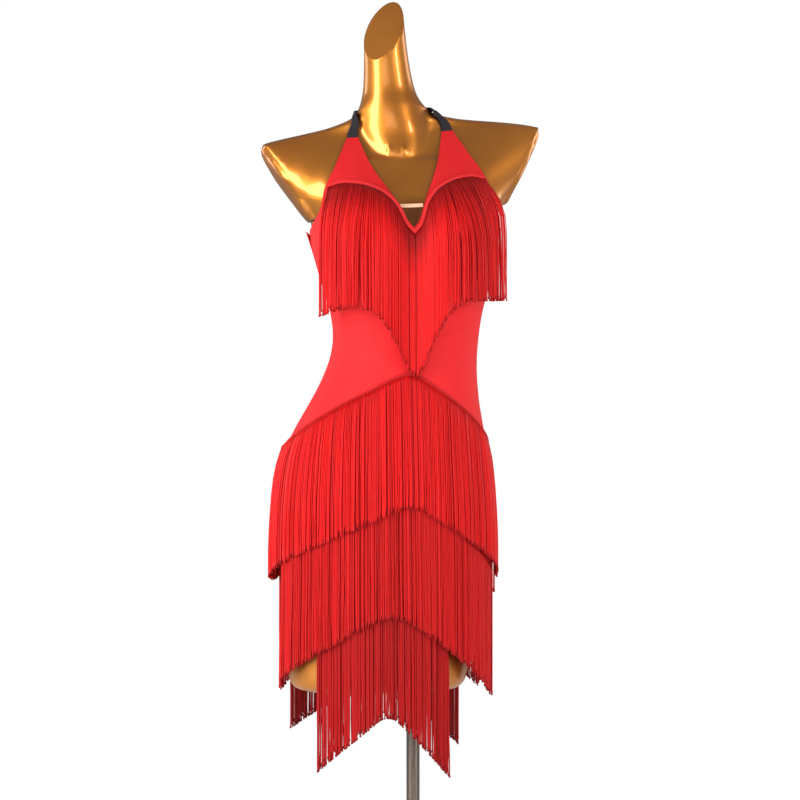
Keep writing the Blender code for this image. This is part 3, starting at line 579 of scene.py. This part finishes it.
# red stretch cloth
cloth = {
    "thickness": 0.0013, "levels": 2, "rimUnder": 0.0020, "cornerFrom": 30, "roundUnder": 45,
    "axis": (-0.030, 0.020), "wrapRadius": 0.150,
    "colour": (0.86, 0.018, 0.022), "cloudColour": (0.79, 0.014, 0.018),
    # painted shade: the knit's hollows and the stitch rows take a darker red
    "grooveShadeColour": (0.55, 0.007, 0.010), "grooveShadeDepth": 0.35, "wale": 0.0012, "course": 0.0010,
    # painted shade: the cloth is darker high on the chest, where it faces up
    "roughness": (0.56, 0.70), "upperShadeTone": 0.72, "upperShadeFrom": (1.255, 1.300),
    "hemWidth": 0.0060, "hemEdge": 0.0008, "hemRise": 0.00060,
    "stitchPitch": 0.0030, "stitchShare": 0.72, "stitchShade": 0.5, "stitchEdge": (0.0003, 0.0006),
    "creaseSway": 0.25, "creaseBends": 5.0,
}
panels = {  # CAD node: piece, flat width and length, flat area, the end with the hem
    "front_bodice": ("frontBodice", (0.50, 0.52), 0.153, "top"),
    "back_bodice": ("backBodice", (0.46, 0.36), 0.109, "top"),
    "front_skirt": ("frontSkirt", (0.48, 0.44), 0.130, "bottom"),
    "back_skirt": ("backSkirt", (0.48, 0.36), 0.119, "bottom"),
}
creases = {  # degrees and height of both ends, half width and rise in metres
    "front_bodice": (
        (-58, 1.150, -20, 1.112, 0.0060, 0.0013), (-66, 1.120, -30, 1.085, 0.0055, 0.0011),
        (-50, 1.075, -5, 1.062, 0.0070, 0.0009), (56, 1.150, 24, 1.108, 0.0060, 0.0012),
        (64, 1.118, 22, 1.078, 0.0065, 0.0012), (60, 1.088, 36, 1.050, 0.0050, 0.0010),
        (-30, 1.048, 12, 1.052, 0.0060, -0.0008), (10, 1.098, 44, 1.104, 0.0055, -0.0007),
        (-40, 1.172, -14, 1.160, 0.0060, -0.0008), (14, 1.162, 42, 1.174, 0.0060, -0.0009),
        (-17, 1.412, -26, 1.372, 0.0040, 0.0014), (18, 1.412, 29, 1.366, 0.0040, 0.0014),
        (-15, 1.395, -17, 1.356, 0.0035, -0.0012), (16, 1.395, 18, 1.350, 0.0035, -0.0013),
        (-70, 1.250, -44, 1.232, 0.0060, 0.0008), (70, 1.252, 46, 1.230, 0.0060, 0.0009),
    ),
    "back_bodice": (
        (110, 1.140, 152, 1.104, 0.0070, 0.0013), (118, 1.105, 160, 1.076, 0.0065, 0.0012),
        (250, 1.142, 208, 1.100, 0.0070, 0.0013), (242, 1.102, 202, 1.070, 0.0060, 0.0011),
        (150, 1.058, 214, 1.050, 0.0070, 0.0010), (140, 1.080, 222, 1.084, 0.0060, -0.0009),
        (160, 1.200, 176, 1.150, 0.0060, 0.0008), (200, 1.205, 186, 1.156, 0.0060, 0.0007),
    ),
    "front_skirt": (
        (-80, 0.900, -60, 0.840, 0.0060, 0.0010), (78, 0.905, 58, 0.850, 0.0060, 0.0010),
        (-12, 0.980, -6, 0.900, 0.0060, 0.0007), (10, 0.985, 8, 0.910, 0.0060, -0.0006),
    ),
    "back_skirt": (
        (120, 0.880, 140, 0.820, 0.0060, 0.0010), (240, 0.880, 220, 0.822, 0.0060, 0.0010),
        (176, 0.960, 180, 0.860, 0.0060, -0.0008),
    ),
}


def bearing(spots):  # degrees round the dress from the middle of the front
    x, y = spots[:, 0] - cloth["axis"][0], spots[:, 1] - cloth["axis"][1]
    return np.degrees(np.arctan2(x, -y))


def wrapTurn(spots):  # the same, with the break on the left of the back
    return np.mod(bearing(spots) + 100, 360) - 100


def knitFabric():
    made, tree, shader = newMaterial(
        "redStretchKnit", 0.62, Sheen_Weight=0.10, Sheen_Roughness=0.35,
        Sheen_Tint=(1.0, 0.35, 0.35, 1.0), Specular_IOR_Level=0.20)
    weave = mapPlace(tree, "fabric")
    knit = placeGroup(tree, fineKnit, weave, Wale=cloth["wale"], Course=cloth["course"])
    cloud = placeGroup(tree, softMottle, objectPlace(tree), Scale=26.0, Detail=4.0)["Value"]
    base = blend(tree, ramp(tree, cloud, -0.3, 0.3), cloth["cloudColour"], cloth["colour"])
    height = tree.nodes.new("ShaderNodeSeparateXYZ")
    tree.links.new(objectPlace(tree), height.inputs[0])
    # painted shade: darker towards the top of the bodice, where the cloth faces up
    upperShaded = tuple(channel * cloth["upperShadeTone"] for channel in cloth["colour"])
    base = blend(tree, ramp(tree, height.outputs["Z"], *cloth["upperShadeFrom"]), base, upperShaded)
    # painted shade in the knit's hollows and along the stitch rows
    shade = calculate(tree, "MULTIPLY", knit["Groove"], cloth["grooveShadeDepth"])
    hem = tree.nodes.new("ShaderNodeSeparateXYZ")
    tree.links.new(mapPlace(tree, "hem"), hem.inputs[0])
    fromLine = calculate(tree, "ABSOLUTE",
                         calculate(tree, "SUBTRACT", hem.outputs["Y"], cloth["hemWidth"]))
    row = ramp(tree, fromLine, *cloth["stitchEdge"], 1.0, 0.0)
    step = calculate(tree, "FRACT", calculate(tree, "DIVIDE", hem.outputs["X"],
                                              cloth["stitchPitch"]))
    dash = calculate(tree, "LESS_THAN", step, cloth["stitchShare"])
    stitch = calculate(tree, "MULTIPLY", row, dash)
    mask = calculate(tree, "MAXIMUM", shade,
                     calculate(tree, "MULTIPLY", stitch, cloth["stitchShade"]))
    tree.links.new(blend(tree, mask, base, cloth["grooveShadeColour"]), shader.inputs["Base Color"])
    tree.links.new(ramp(tree, cloud, -0.3, 0.3, *cloth["roughness"]), shader.inputs["Roughness"])
    height = calculate(tree, "ADD", calculate(tree, "MULTIPLY", knit["Height"], 0.25), stitch)
    addBump(tree, shader, height, depth=0.00025, strength=0.7)
    return made


def outerSkin(piece):  # keeps the outer face of a wall, so that it can be finished as a sheet
    sheet = bmesh.new()
    sheet.from_mesh(piece.data)
    waste = []
    for face in sheet.faces:
        middle = face.calc_center_median()
        out = Vector((middle.x - cloth["axis"][0], middle.y - cloth["axis"][1], 0)).normalized()
        thin = min(edge.calc_length() for edge in face.edges) < cloth["rimUnder"]
        if thin or face.normal.dot(out) < 0:
            waste.append(face)
    bmesh.ops.delete(sheet, geom=waste, context="FACES")
    sheet.to_mesh(piece.data)
    sheet.free()


def creaseRise(spots, table):  # soft ridges and hollows, which fade towards both ends
    across = np.radians(wrapTurn(spots)) * cloth["wrapRadius"]
    total = np.zeros(len(spots))
    for startTurn, startHeight, endTurn, endHeight, width, rise in table:
        start = np.array([math.radians(startTurn) * cloth["wrapRadius"], startHeight])
        end = np.array([math.radians(endTurn) * cloth["wrapRadius"], endHeight])
        run = end - start
        length = np.linalg.norm(run)
        here = np.stack([across, spots[:, 2]], axis=1) - start
        along = here @ run / (run @ run)
        inside = np.clip(along, 0, 1)
        sway = cloth["creaseSway"] * width * np.sin(inside * cloth["creaseBends"] + startTurn)
        side = (here - inside[:, None] * run) @ np.array([-run[1], run[0]]) / length
        gap = np.hypot(side - sway, (along - inside) * length)
        fade = np.sin(np.pi * np.clip(inside * 0.9 + 0.05, 0, 1)) ** 0.7
        total += rise * fade * np.exp(-(gap / width) ** 2)
    return total


def rimLoop(piece):  # the longest open edge of a sheet, its vertices in order
    sheet = bmesh.new()
    sheet.from_mesh(piece.data)
    rims = {v.index: [e.other_vert(v).index for e in v.link_edges if e.is_boundary]
            for v in sheet.verts if v.is_boundary}
    sheet.free()
    loops, left = [], set(rims)
    while left:
        here = left.pop()
        loop = [here]
        while True:
            onward = [other for other in rims[here] if other in left]
            if not onward:
                break
            here = onward[0]
            left.discard(here)
            loop.append(here)
        loops.append(loop)
    return max(loops, key=len)


def hemLine(piece, side):  # the hem runs between the two corners where the side seams end
    line = readPoints(piece)[rimLoop(piece)]
    corners = sorted(range(len(line)), key=lambda k: sideScore(line[k], side))[-2:]
    first, last = sorted(corners)
    one, two = line[first:last + 1], np.concatenate([line[last:], line[:first + 1]])
    return max((one, two), key=lambda part: part[:, 2].mean() * (1 if side == "top" else -1))


def sideScore(spot, side):  # high at the corner between a side seam and the hem
    turn = math.degrees(math.atan2(spot[0] - cloth["axis"][0], abs(spot[1] - cloth["axis"][1])))
    return abs(turn) / 90 + (spot[2] if side == "top" else -spot[2])


def hemPlaces(spots, line):  # metres along the line, and from it, for every point
    run, starts, ways = runLength(line), line[:-1], np.diff(line, axis=0)
    lengths = np.maximum((ways ** 2).sum(1), 1e-12)
    along, away = np.zeros((2, len(spots)))
    for first in range(0, len(spots), 2000):  # in blocks, to spare memory
        block = slice(first, first + 2000)
        here = spots[block, None, :] - starts[None]
        share = np.clip((here * ways[None]).sum(2) / lengths, 0, 1)
        gaps = np.linalg.norm(here - share[..., None] * ways[None], axis=2)
        best = gaps.argmin(1)
        rows = np.arange(len(best))
        away[block] = gaps[rows, best]
        along[block] = run[best] + share[rows, best] * np.sqrt(lengths[best])
    return along, away


def pinCorners(piece, angle):  # the open edge's corners stay square when it is smoothed
    sheet = bmesh.new()
    sheet.from_mesh(piece.data)
    pins = np.zeros(len(sheet.verts))
    for vertex in sheet.verts:
        rim = [edge.other_vert(vertex).co - vertex.co for edge in vertex.link_edges
               if edge.is_boundary]
        if len(rim) == 2 and rim[0].angle(-rim[1]) > math.radians(angle):
            pins[vertex.index] = 1.0
    sheet.free()
    piece.data.attributes.new("crease_vert", "FLOAT", "POINT").data.foreach_set("value", pins)


def buildPanel(node, pieceName, flat, area, side, fabric):
    piece = copyNode(node, pieceName)
    outerSkin(piece)
    pinCorners(piece, cloth["cornerFrom"])
    smoothen(piece, cloth["levels"], boundary_smooth="PRESERVE_CORNERS")
    spots, ways = readPoints(piece), readNormals(piece)
    along, away = hemPlaces(spots, hemLine(piece, side))
    step = cloth["hemEdge"]
    hem = cloth["hemRise"] * np.clip((cloth["hemWidth"] + step - away) / (2 * step), 0, 1)
    rise = creaseRise(spots, creases[node]) + hem
    writePoints(piece, spots + ways * rise[:, None])
    writeUv(piece, "fabric", np.radians(wrapTurn(spots)) * cloth["wrapRadius"], spots[:, 2])
    writeUv(piece, "hem", along, away)
    wall = piece.modifiers.new("wall", "SOLIDIFY")
    wall.thickness = cloth["thickness"]
    wall.offset = -1
    wall.use_even_offset = True
    applyAll(piece)
    wakeAlone(piece)
    bpy.ops.object.shade_smooth_by_angle(angle=math.radians(cloth["roundUnder"]))
    dress(piece, fabric, node)


def buildPanels():
    fabric = knitFabric()
    for node, values in panels.items():
        buildPanel(node, *values, fabric)


buildPanels()
print("cloth ready")


# reading the rings of points along a CAD strip or lock
def ringChains(node, reach):
    solid = bmesh.new()
    solid.from_mesh(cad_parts[node].data)
    bmesh.ops.remove_doubles(solid, verts=solid.verts, dist=0.00002)
    solid.verts.index_update()
    spots = np.array([v.co[:] for v in solid.verts])
    owner = list(range(len(spots)))

    def root(one):
        while owner[one] != one:
            owner[one] = owner[owner[one]]
            one = owner[one]
        return one

    longEdges = []
    for edge in solid.edges:
        one, two = edge.verts[0].index, edge.verts[1].index
        if edge.calc_length() < reach:
            owner[root(one)] = root(two)
        else:
            longEdges.append((one, two))
    solid.free()
    rings = {}
    for one in range(len(spots)):
        rings.setdefault(root(one), []).append(one)
    beside = {key: {} for key in rings}
    for one, two in longEdges:
        a, b = root(one), root(two)
        if a != b:
            beside[a].setdefault(b, set()).add(two)
            beside[b].setdefault(a, set()).add(one)
    return spots, rings, beside


def catmull(stops, marks):  # smooth line through the stops, at marks from 0 to their count less 1
    stops = np.asarray(stops)
    ends = np.concatenate([[2 * stops[0] - stops[1]], stops, [2 * stops[-1] - stops[-2]]])
    marks = np.asarray(marks, float)
    row = np.clip(np.floor(marks).astype(int), 0, len(stops) - 2)
    part = (marks - row).reshape(-1, *[1] * (stops.ndim - 1))
    before, here, onward, after = ends[row], ends[row + 1], ends[row + 2], ends[row + 3]
    return 0.5 * (2 * here + (onward - before) * part
                  + (2 * before - 5 * here + 4 * onward - after) * part ** 2
                  + (3 * here - before - 3 * onward + after) * part ** 3)


def tubeMesh(name, lines, ways, radius, sides, start=0.0):  # a round cord along each line
    down = unit(np.gradient(lines, axis=1))
    side = unit(ways - down * (ways * down).sum(-1, keepdims=True))
    out = np.cross(side, down)
    turn = np.arange(sides) / sides
    angle = turn[None] * 2 * math.pi + start
    radius = np.asarray(radius)[..., None]
    grid = (lines[:, :, None]
            + side[:, :, None] * (np.cos(angle)[:, None, :] * radius)[..., None]
            + out[:, :, None] * (np.sin(angle)[:, None, :] * radius)[..., None])
    piece = gridMesh(name, grid, turn[None, None], runLength(lines)[..., None])
    faceOutward(piece)
    return piece


def gridMesh(name, grid, u, v):  # closed tubes from rings of points, with their ends filled
    strips, rows, count = grid.shape[:3]
    step = np.arange(count)
    onward = (step + 1) % count
    base = (np.arange(strips)[:, None, None] * rows + np.arange(rows - 1)[None, :, None]) * count
    quads = np.stack([base + step, base + onward, base + count + onward, base + count + step],
                     axis=-1).reshape(-1, 4)
    faces = quads.tolist()
    for strip in range(strips):
        first = strip * rows * count
        faces.append(list(range(first + count - 1, first - 1, -1)))
        last = first + (rows - 1) * count
        faces.append(list(range(last, last + count)))
    mesh = bpy.data.meshes.new(name)
    mesh.from_pydata(grid.reshape(-1, 3).tolist(), [], faces)
    piece = bpy.data.objects.new(name, mesh)
    bpy.context.scene.collection.objects.link(piece)
    corners = np.empty(len(mesh.loops), int)
    mesh.loops.foreach_get("vertex_index", corners)
    values = np.stack([np.broadcast_to(part, grid.shape[:3]).ravel()[corners]
                       for part in (u, v)], axis=1)
    # the last face of a turn reads on past one, not back to nought
    turn = values[:len(quads) * 4, 0].reshape(-1, 4)
    broken = (turn.max(1) - turn.min(1) > 0.5)[:, None]
    turn[broken & (turn < 0.25)] += 1
    mesh.uv_layers.new(name="cord").data.foreach_set("uv", values.ravel())
    mesh.shade_smooth()
    return piece


# neckband and bar across the plunge
# painted shade: each band's weave is coloured darker in its hollows
band = {"sharpFrom": 38.0, "crease": 0.75, "levels": 2, "wrap": 0.070, "weave": 0.0009,
        "flat": (0.0137, 0.36), "colour": (0.022, 0.020, 0.025), "groove": (0.007, 0.006, 0.008)}
bar = {"sharpFrom": 38.0, "crease": 0.75, "levels": 3, "wrap": 0.110, "weave": 0.0010,
       "colour": (1.00, 0.62, 0.40), "groove": (0.80, 0.45, 0.28)}


def weaveBand(name, strip):
    made, tree, shader = newMaterial(name, 0.7, Sheen_Weight=0.04, Specular_IOR_Level=0.2)
    knit = placeGroup(tree, fineKnit, mapPlace(tree, "fabric"), Wale=strip["weave"],
                      Course=strip["weave"] * 0.8)
    # painted shade in the hollows of the weave
    tree.links.new(blend(tree, knit["Groove"], strip["colour"], strip["groove"]),
                   shader.inputs["Base Color"])
    addBump(tree, shader, knit["Height"], depth=0.0002, strength=0.8)
    return made


def buildStrip(node, pieceName, strip, finish):
    piece = copyNode(node, pieceName)
    creaseSharp(piece, strip["sharpFrom"], strip["crease"])
    smoothen(piece, strip["levels"])
    spots = readPoints(piece)
    turn = np.arctan2(spots[:, 0] - cloth["axis"][0], spots[:, 1] - cloth["axis"][1] - 0.01)
    writeUv(piece, "fabric", spots[:, 2], turn * strip["wrap"])
    dress(piece, finish, node)
    return piece


def buildBands():
    black = weaveBand("charcoalElastic", band)
    piece = buildStrip("neckband", "neckBand", band, black)
    flesh = weaveBand("fleshElastic", bar)
    buildStrip("plunge_bar", "plungeBar", bar, flesh)


buildBands()
print("bands ready")


# fringe
fringe = {
    "reach": 0.022, "radius": 0.00100, "sides": 4, "points": 10, "seed": 7,
    "stops": (0, 0.05, 0.12, 0.22, 0.35, 0.50, 0.65, 0.80, 0.92, 0.980, 0.986, 1),
    # shares: root places, strands that change layer, new bunches; then waves down a strand
    "jitter": (0.15, 0.85), "swapped": 0.15, "newBunch": 0.22, "waves": (1.2, 3.2),
    "layerGap": 0.0011, "rough": 0.0003,
    "length": 0.22, "lengths": (0.93, 1.012),  # usual length, and the limits as shares of it
    "thickness": (0.85, 1.12), "rootThin": 0.8, "knot": 1.50, "knotTone": 0.62,
    "toneSpread": 0.05, "under": 0.76, "twist": 0.0034, "twistShade": 0.14, "roughness": 0.40,
    "bustShade": (0.38, 3.6), "tierShade": (0.85, 8.0),  # painted shade at the roots: brightness there, and how fast it clears
    "colour": (0.84, 0.008, 0.009), "deepColour": (0.08, 0.0006, 0.0008),
}
fringeRows = {  # CAD node: strands, brightness with painted shade (lower and back tiers darker), how far they clump, sideways wander, length spread
    "bust_fringe_left": (200, 0.97, 0.22, 0.0014, 0.0045),
    "bust_fringe_right": (200, 0.97, 0.22, 0.0014, 0.0045),
    "fringe_front_1": (440, 0.97, 0.16, 0.0012, 0.0036),
    "fringe_back_1": (400, 0.94, 0.16, 0.0012, 0.0036),
    "fringe_front_2": (420, 0.77, 0.20, 0.0013, 0.0045),
    "fringe_back_2": (330, 0.80, 0.20, 0.0013, 0.0045),
    "fringe_front_3": (290, 0.57, 0.25, 0.0016, 0.0060),
    "fringe_back_3": (360, 0.48, 0.25, 0.0016, 0.0060),
}


def readLocks(node):  # each lock's middle line from its root to its tip, in order round the dress
    spots, rings, beside = ringChains(node, fringe["reach"])
    tape = max(rings, key=lambda key: len(rings[key]))
    whole = {key for key in rings if len(rings[key]) == 4}
    locks = []
    for first in set(beside[tape]) & whole:
        roots = spots[sorted(beside[first][tape])]
        line, used, here = [roots.mean(0)], {tape}, first
        while here is not None:
            used.add(here)
            line.append(spots[rings[here]].mean(0))
            onward = [key for key in beside[here] if key in whole and key not in used]
            here = onward[0] if onward else None
        locks.append(evenLine(np.array(line), fringe["points"]))
    locks = np.array(locks)
    turns = bearing(locks[:, 0])
    if locks[:, 0, 1].mean() > cloth["axis"][1]:
        turns = turns % 360
    return locks[np.argsort(turns)]


def evenLine(line, points):  # the line at even steps, with its corners eased
    run = runLength(line)
    line = evenSteps(line, run, np.linspace(0, run[-1], points))
    for _ in range(2):
        line[1:-1] = line[:-2] * 0.25 + line[1:-1] * 0.5 + line[2:] * 0.25
    return catmull(line, np.array(fringe["stops"]) * (points - 1))


def faceAway(ways, places):  # turns round the ways that point in towards the dress's axis
    away = places[..., :2] - np.array(cloth["axis"])
    return ways * np.sign((ways[..., :2] * away).sum(-1, keepdims=True))


def strandTones(luck, share, layer, shadedTone, shade):  # brightness of each strand down its length: random spread, painted shade by row, on the inner layer and at the roots, and darker knots
    tones = shadedTone * luck.normal(1.0, fringe["toneSpread"], layer.shape) * np.ones(len(share))
    # painted shade: strands of the inner layer, behind the outer one, are darker
    tones *= np.where(layer > 0, 1.0, fringe["under"])
    # painted shade at the roots, where the strands face up, clearing down the strand
    top, rise = shade
    tones *= top + (1 - top) * np.minimum(share * rise, 1)[None] ** 1.5
    tones[:, -2:] *= fringe["knotTone"]
    return tones


def buildFringeRow(node, strands, shadedTone, clump, wander, spread, finish, seed):
    luck = np.random.default_rng(seed)
    locks = readLocks(node)
    jitter = luck.uniform(*fringe["jitter"], strands)
    marks = (np.arange(strands) + jitter) / strands * len(locks) - 0.5
    share = np.array(fringe["stops"])
    lines = catmull(locks, marks)
    side = unit(catmull(locks, marks + 0.05) - catmull(locks, marks - 0.05))
    out = faceAway(unit(np.cross(unit(np.gradient(lines, axis=1)), side)), lines)
    layer = (np.arange(strands) % 2)[:, None] * 2 - 1
    layer = np.where(luck.uniform(0, 1, (strands, 1)) < fringe["swapped"], -layer, layer)
    # strands fall together in small bunches towards their ends
    bunch = np.cumsum(luck.uniform(0, 1, strands) < fringe["newBunch"])
    middle = np.array([marks[bunch == b].mean() for b in bunch])
    lockPitch = np.linalg.norm(np.diff(locks[:, -1], axis=0), axis=1).mean()
    pull = (middle - marks)[:, None] * lockPitch * clump * share[None] ** 0.8
    phase = luck.uniform(0, 2 * math.pi, (strands, 1))
    rate = luck.uniform(*fringe["waves"], (strands, 1))
    swing = luck.normal(0, 1, (strands, 1)) * wander
    sway = swing * (0.25 * np.sin(rate * 2 * math.pi * share + phase) * np.sqrt(share)
                    + 0.55 * share ** 1.6 * np.sign(swing))
    # the two layers part just below the roots
    rough = luck.normal(0, fringe["rough"], (strands, 1))
    lift = (layer * fringe["layerGap"] + rough) * np.minimum(share * 9, 1)
    lines = lines + side * (pull + sway)[..., None] + out * lift[..., None]
    length = 1 + luck.normal(0, 1, (strands, 1)) * spread / fringe["length"]
    length = np.clip(length, *fringe["lengths"])
    lines = lines[:, :1] + (lines - lines[:, :1]) * length[..., None]
    start = luck.uniform(0, 2 * math.pi, (strands, 1))
    radius = fringe["radius"] * luck.uniform(*fringe["thickness"], (strands, 1))
    radius = radius * np.ones(len(share))
    radius[:, 0] *= fringe["rootThin"]
    radius[:, -2:] *= fringe["knot"]
    piece = tubeMesh(camel(node) + "Strands", lines, side, radius, fringe["sides"], start)
    shade = fringe["bustShade"] if node.startswith("bust") else fringe["tierShade"]
    tones = strandTones(luck, share, layer, shadedTone, shade)
    # each strand's brightness, painted shade included, kept on its points
    mark = piece.data.attributes.new("strandToneAndShade", "FLOAT", "POINT")
    mark.data.foreach_set("value", np.repeat(tones.ravel(), fringe["sides"]))
    dress(piece, finish, node)
    return locks


def camel(name):
    first, *others = name.split("_")
    return first + "".join(word.capitalize() for word in others)


def fringeYarn():
    made, tree, shader = newMaterial("redFringeYarn", fringe["roughness"], Sheen_Weight=0.04,
                                     Sheen_Roughness=0.4, Specular_IOR_Level=0.18)
    twist = placeGroup(tree, cordTwist, mapPlace(tree, "cord"), Pitch=fringe["twist"])
    shadedTone = tree.nodes.new("ShaderNodeAttribute")
    shadedTone.attribute_name = "strandToneAndShade"
    # painted shade: strands are darker in the hollows of their twist
    level = calculate(tree, "SUBTRACT", shadedTone.outputs["Fac"],
                      calculate(tree, "MULTIPLY", twist["Groove"], fringe["twistShade"]))
    tree.links.new(blend(tree, ramp(tree, level, 0.05, 1.0), fringe["deepColour"],
                         fringe["colour"]), shader.inputs["Base Color"])
    addBump(tree, shader, twist["Height"], depth=0.0002, strength=0.6)
    return made


# headings of the fringe: a plait at the bust, a narrow looped tape on the tiers
# painted shade: both headings are coloured darker in the hollows of their twist
plait = {"name": "Plait", "strands": 3, "step": 0.0008, "repeat": 0.0100, "width": 0.0019,
         "bends": 2, "lead": 0.0, "depth": 0.0009, "lift": 0.0004, "cord": 0.0012, "sides": 6,
         "above": 0.0024, "colour": (0.88, 0.030, 0.034), "groove": (0.45, 0.008, 0.010)}
tape = {"name": "Tape", "strands": 2, "step": 0.0006, "repeat": 0.0030, "width": 0.001728,
        "bends": 1, "lead": 0.25, "depth": 0.0005, "lift": 0.0, "cord": 0.0008, "sides": 4,
        "above": 0.0024, "colour": (0.72, 0.012, 0.015), "groove": (0.40, 0.005, 0.007)}


def headingLine(locks, heading):  # the middle of a heading, with its outward and upward ways
    # it runs on nearly half a lock's width past the outer ones
    marks = np.linspace(-0.45, len(locks) - 0.55, len(locks) * 12)
    line = catmull(locks[:, 0], marks)
    run = runLength(line)
    even = np.linspace(0, run[-1], max(int(run[-1] / heading["step"]), 2))
    line = evenSteps(line, run, even)
    way = unit(np.gradient(line, axis=0))
    down = unit(catmull(locks[:, 1] - locks[:, 0], np.interp(even, run, marks)))
    out = faceAway(unit(np.cross(way, down)), line)
    up = unit(np.cross(out, way))
    up *= np.sign(up[:, 2:3])
    return line + up * heading["above"], even, out, up


def buildHeading(node, locks, heading, finish):  # cords that wind round each other
    line, run, out, up = headingLine(locks, heading)
    cords = []
    for strand in range(heading["strands"]):
        turn = 2 * math.pi * (run / heading["repeat"] + strand / heading["strands"])
        wave = np.sin(heading["bends"] * turn + 2 * math.pi * heading["lead"])
        cords.append(line + up * (np.sin(turn) * heading["width"])[:, None]
                     + out * (wave * heading["depth"] + heading["lift"])[:, None])
    ways = np.broadcast_to(out, (len(cords), *out.shape))
    piece = tubeMesh(camel(node) + heading["name"], np.array(cords), ways, heading["cord"],
                     heading["sides"])
    dress(piece, finish, node)


def cordFinish(name, heading):
    made, tree, shader = newMaterial(name, 0.5, Sheen_Weight=0.04, Specular_IOR_Level=0.22)
    twist = placeGroup(tree, cordTwist, mapPlace(tree, "cord"), Pitch=0.0030)
    # painted shade in the hollows of the twist
    tree.links.new(blend(tree, twist["Groove"], heading["colour"], heading["groove"]),
                   shader.inputs["Base Color"])
    addBump(tree, shader, twist["Height"], depth=0.0002, strength=0.7)
    return made


def buildFringes():
    yarn = fringeYarn()
    plaitFinish = cordFinish("plaitYarn", plait)
    tapeFinish = cordFinish("tapeYarn", tape)
    for seed, (node, values) in enumerate(fringeRows.items()):
        locks = buildFringeRow(node, *values, yarn, fringe["seed"] + seed)
        if node.startswith("bust"):
            buildHeading(node, locks, plait, plaitFinish)
        else:
            buildHeading(node, locks, tape, tapeFinish)


buildFringes()
print("fringe ready")
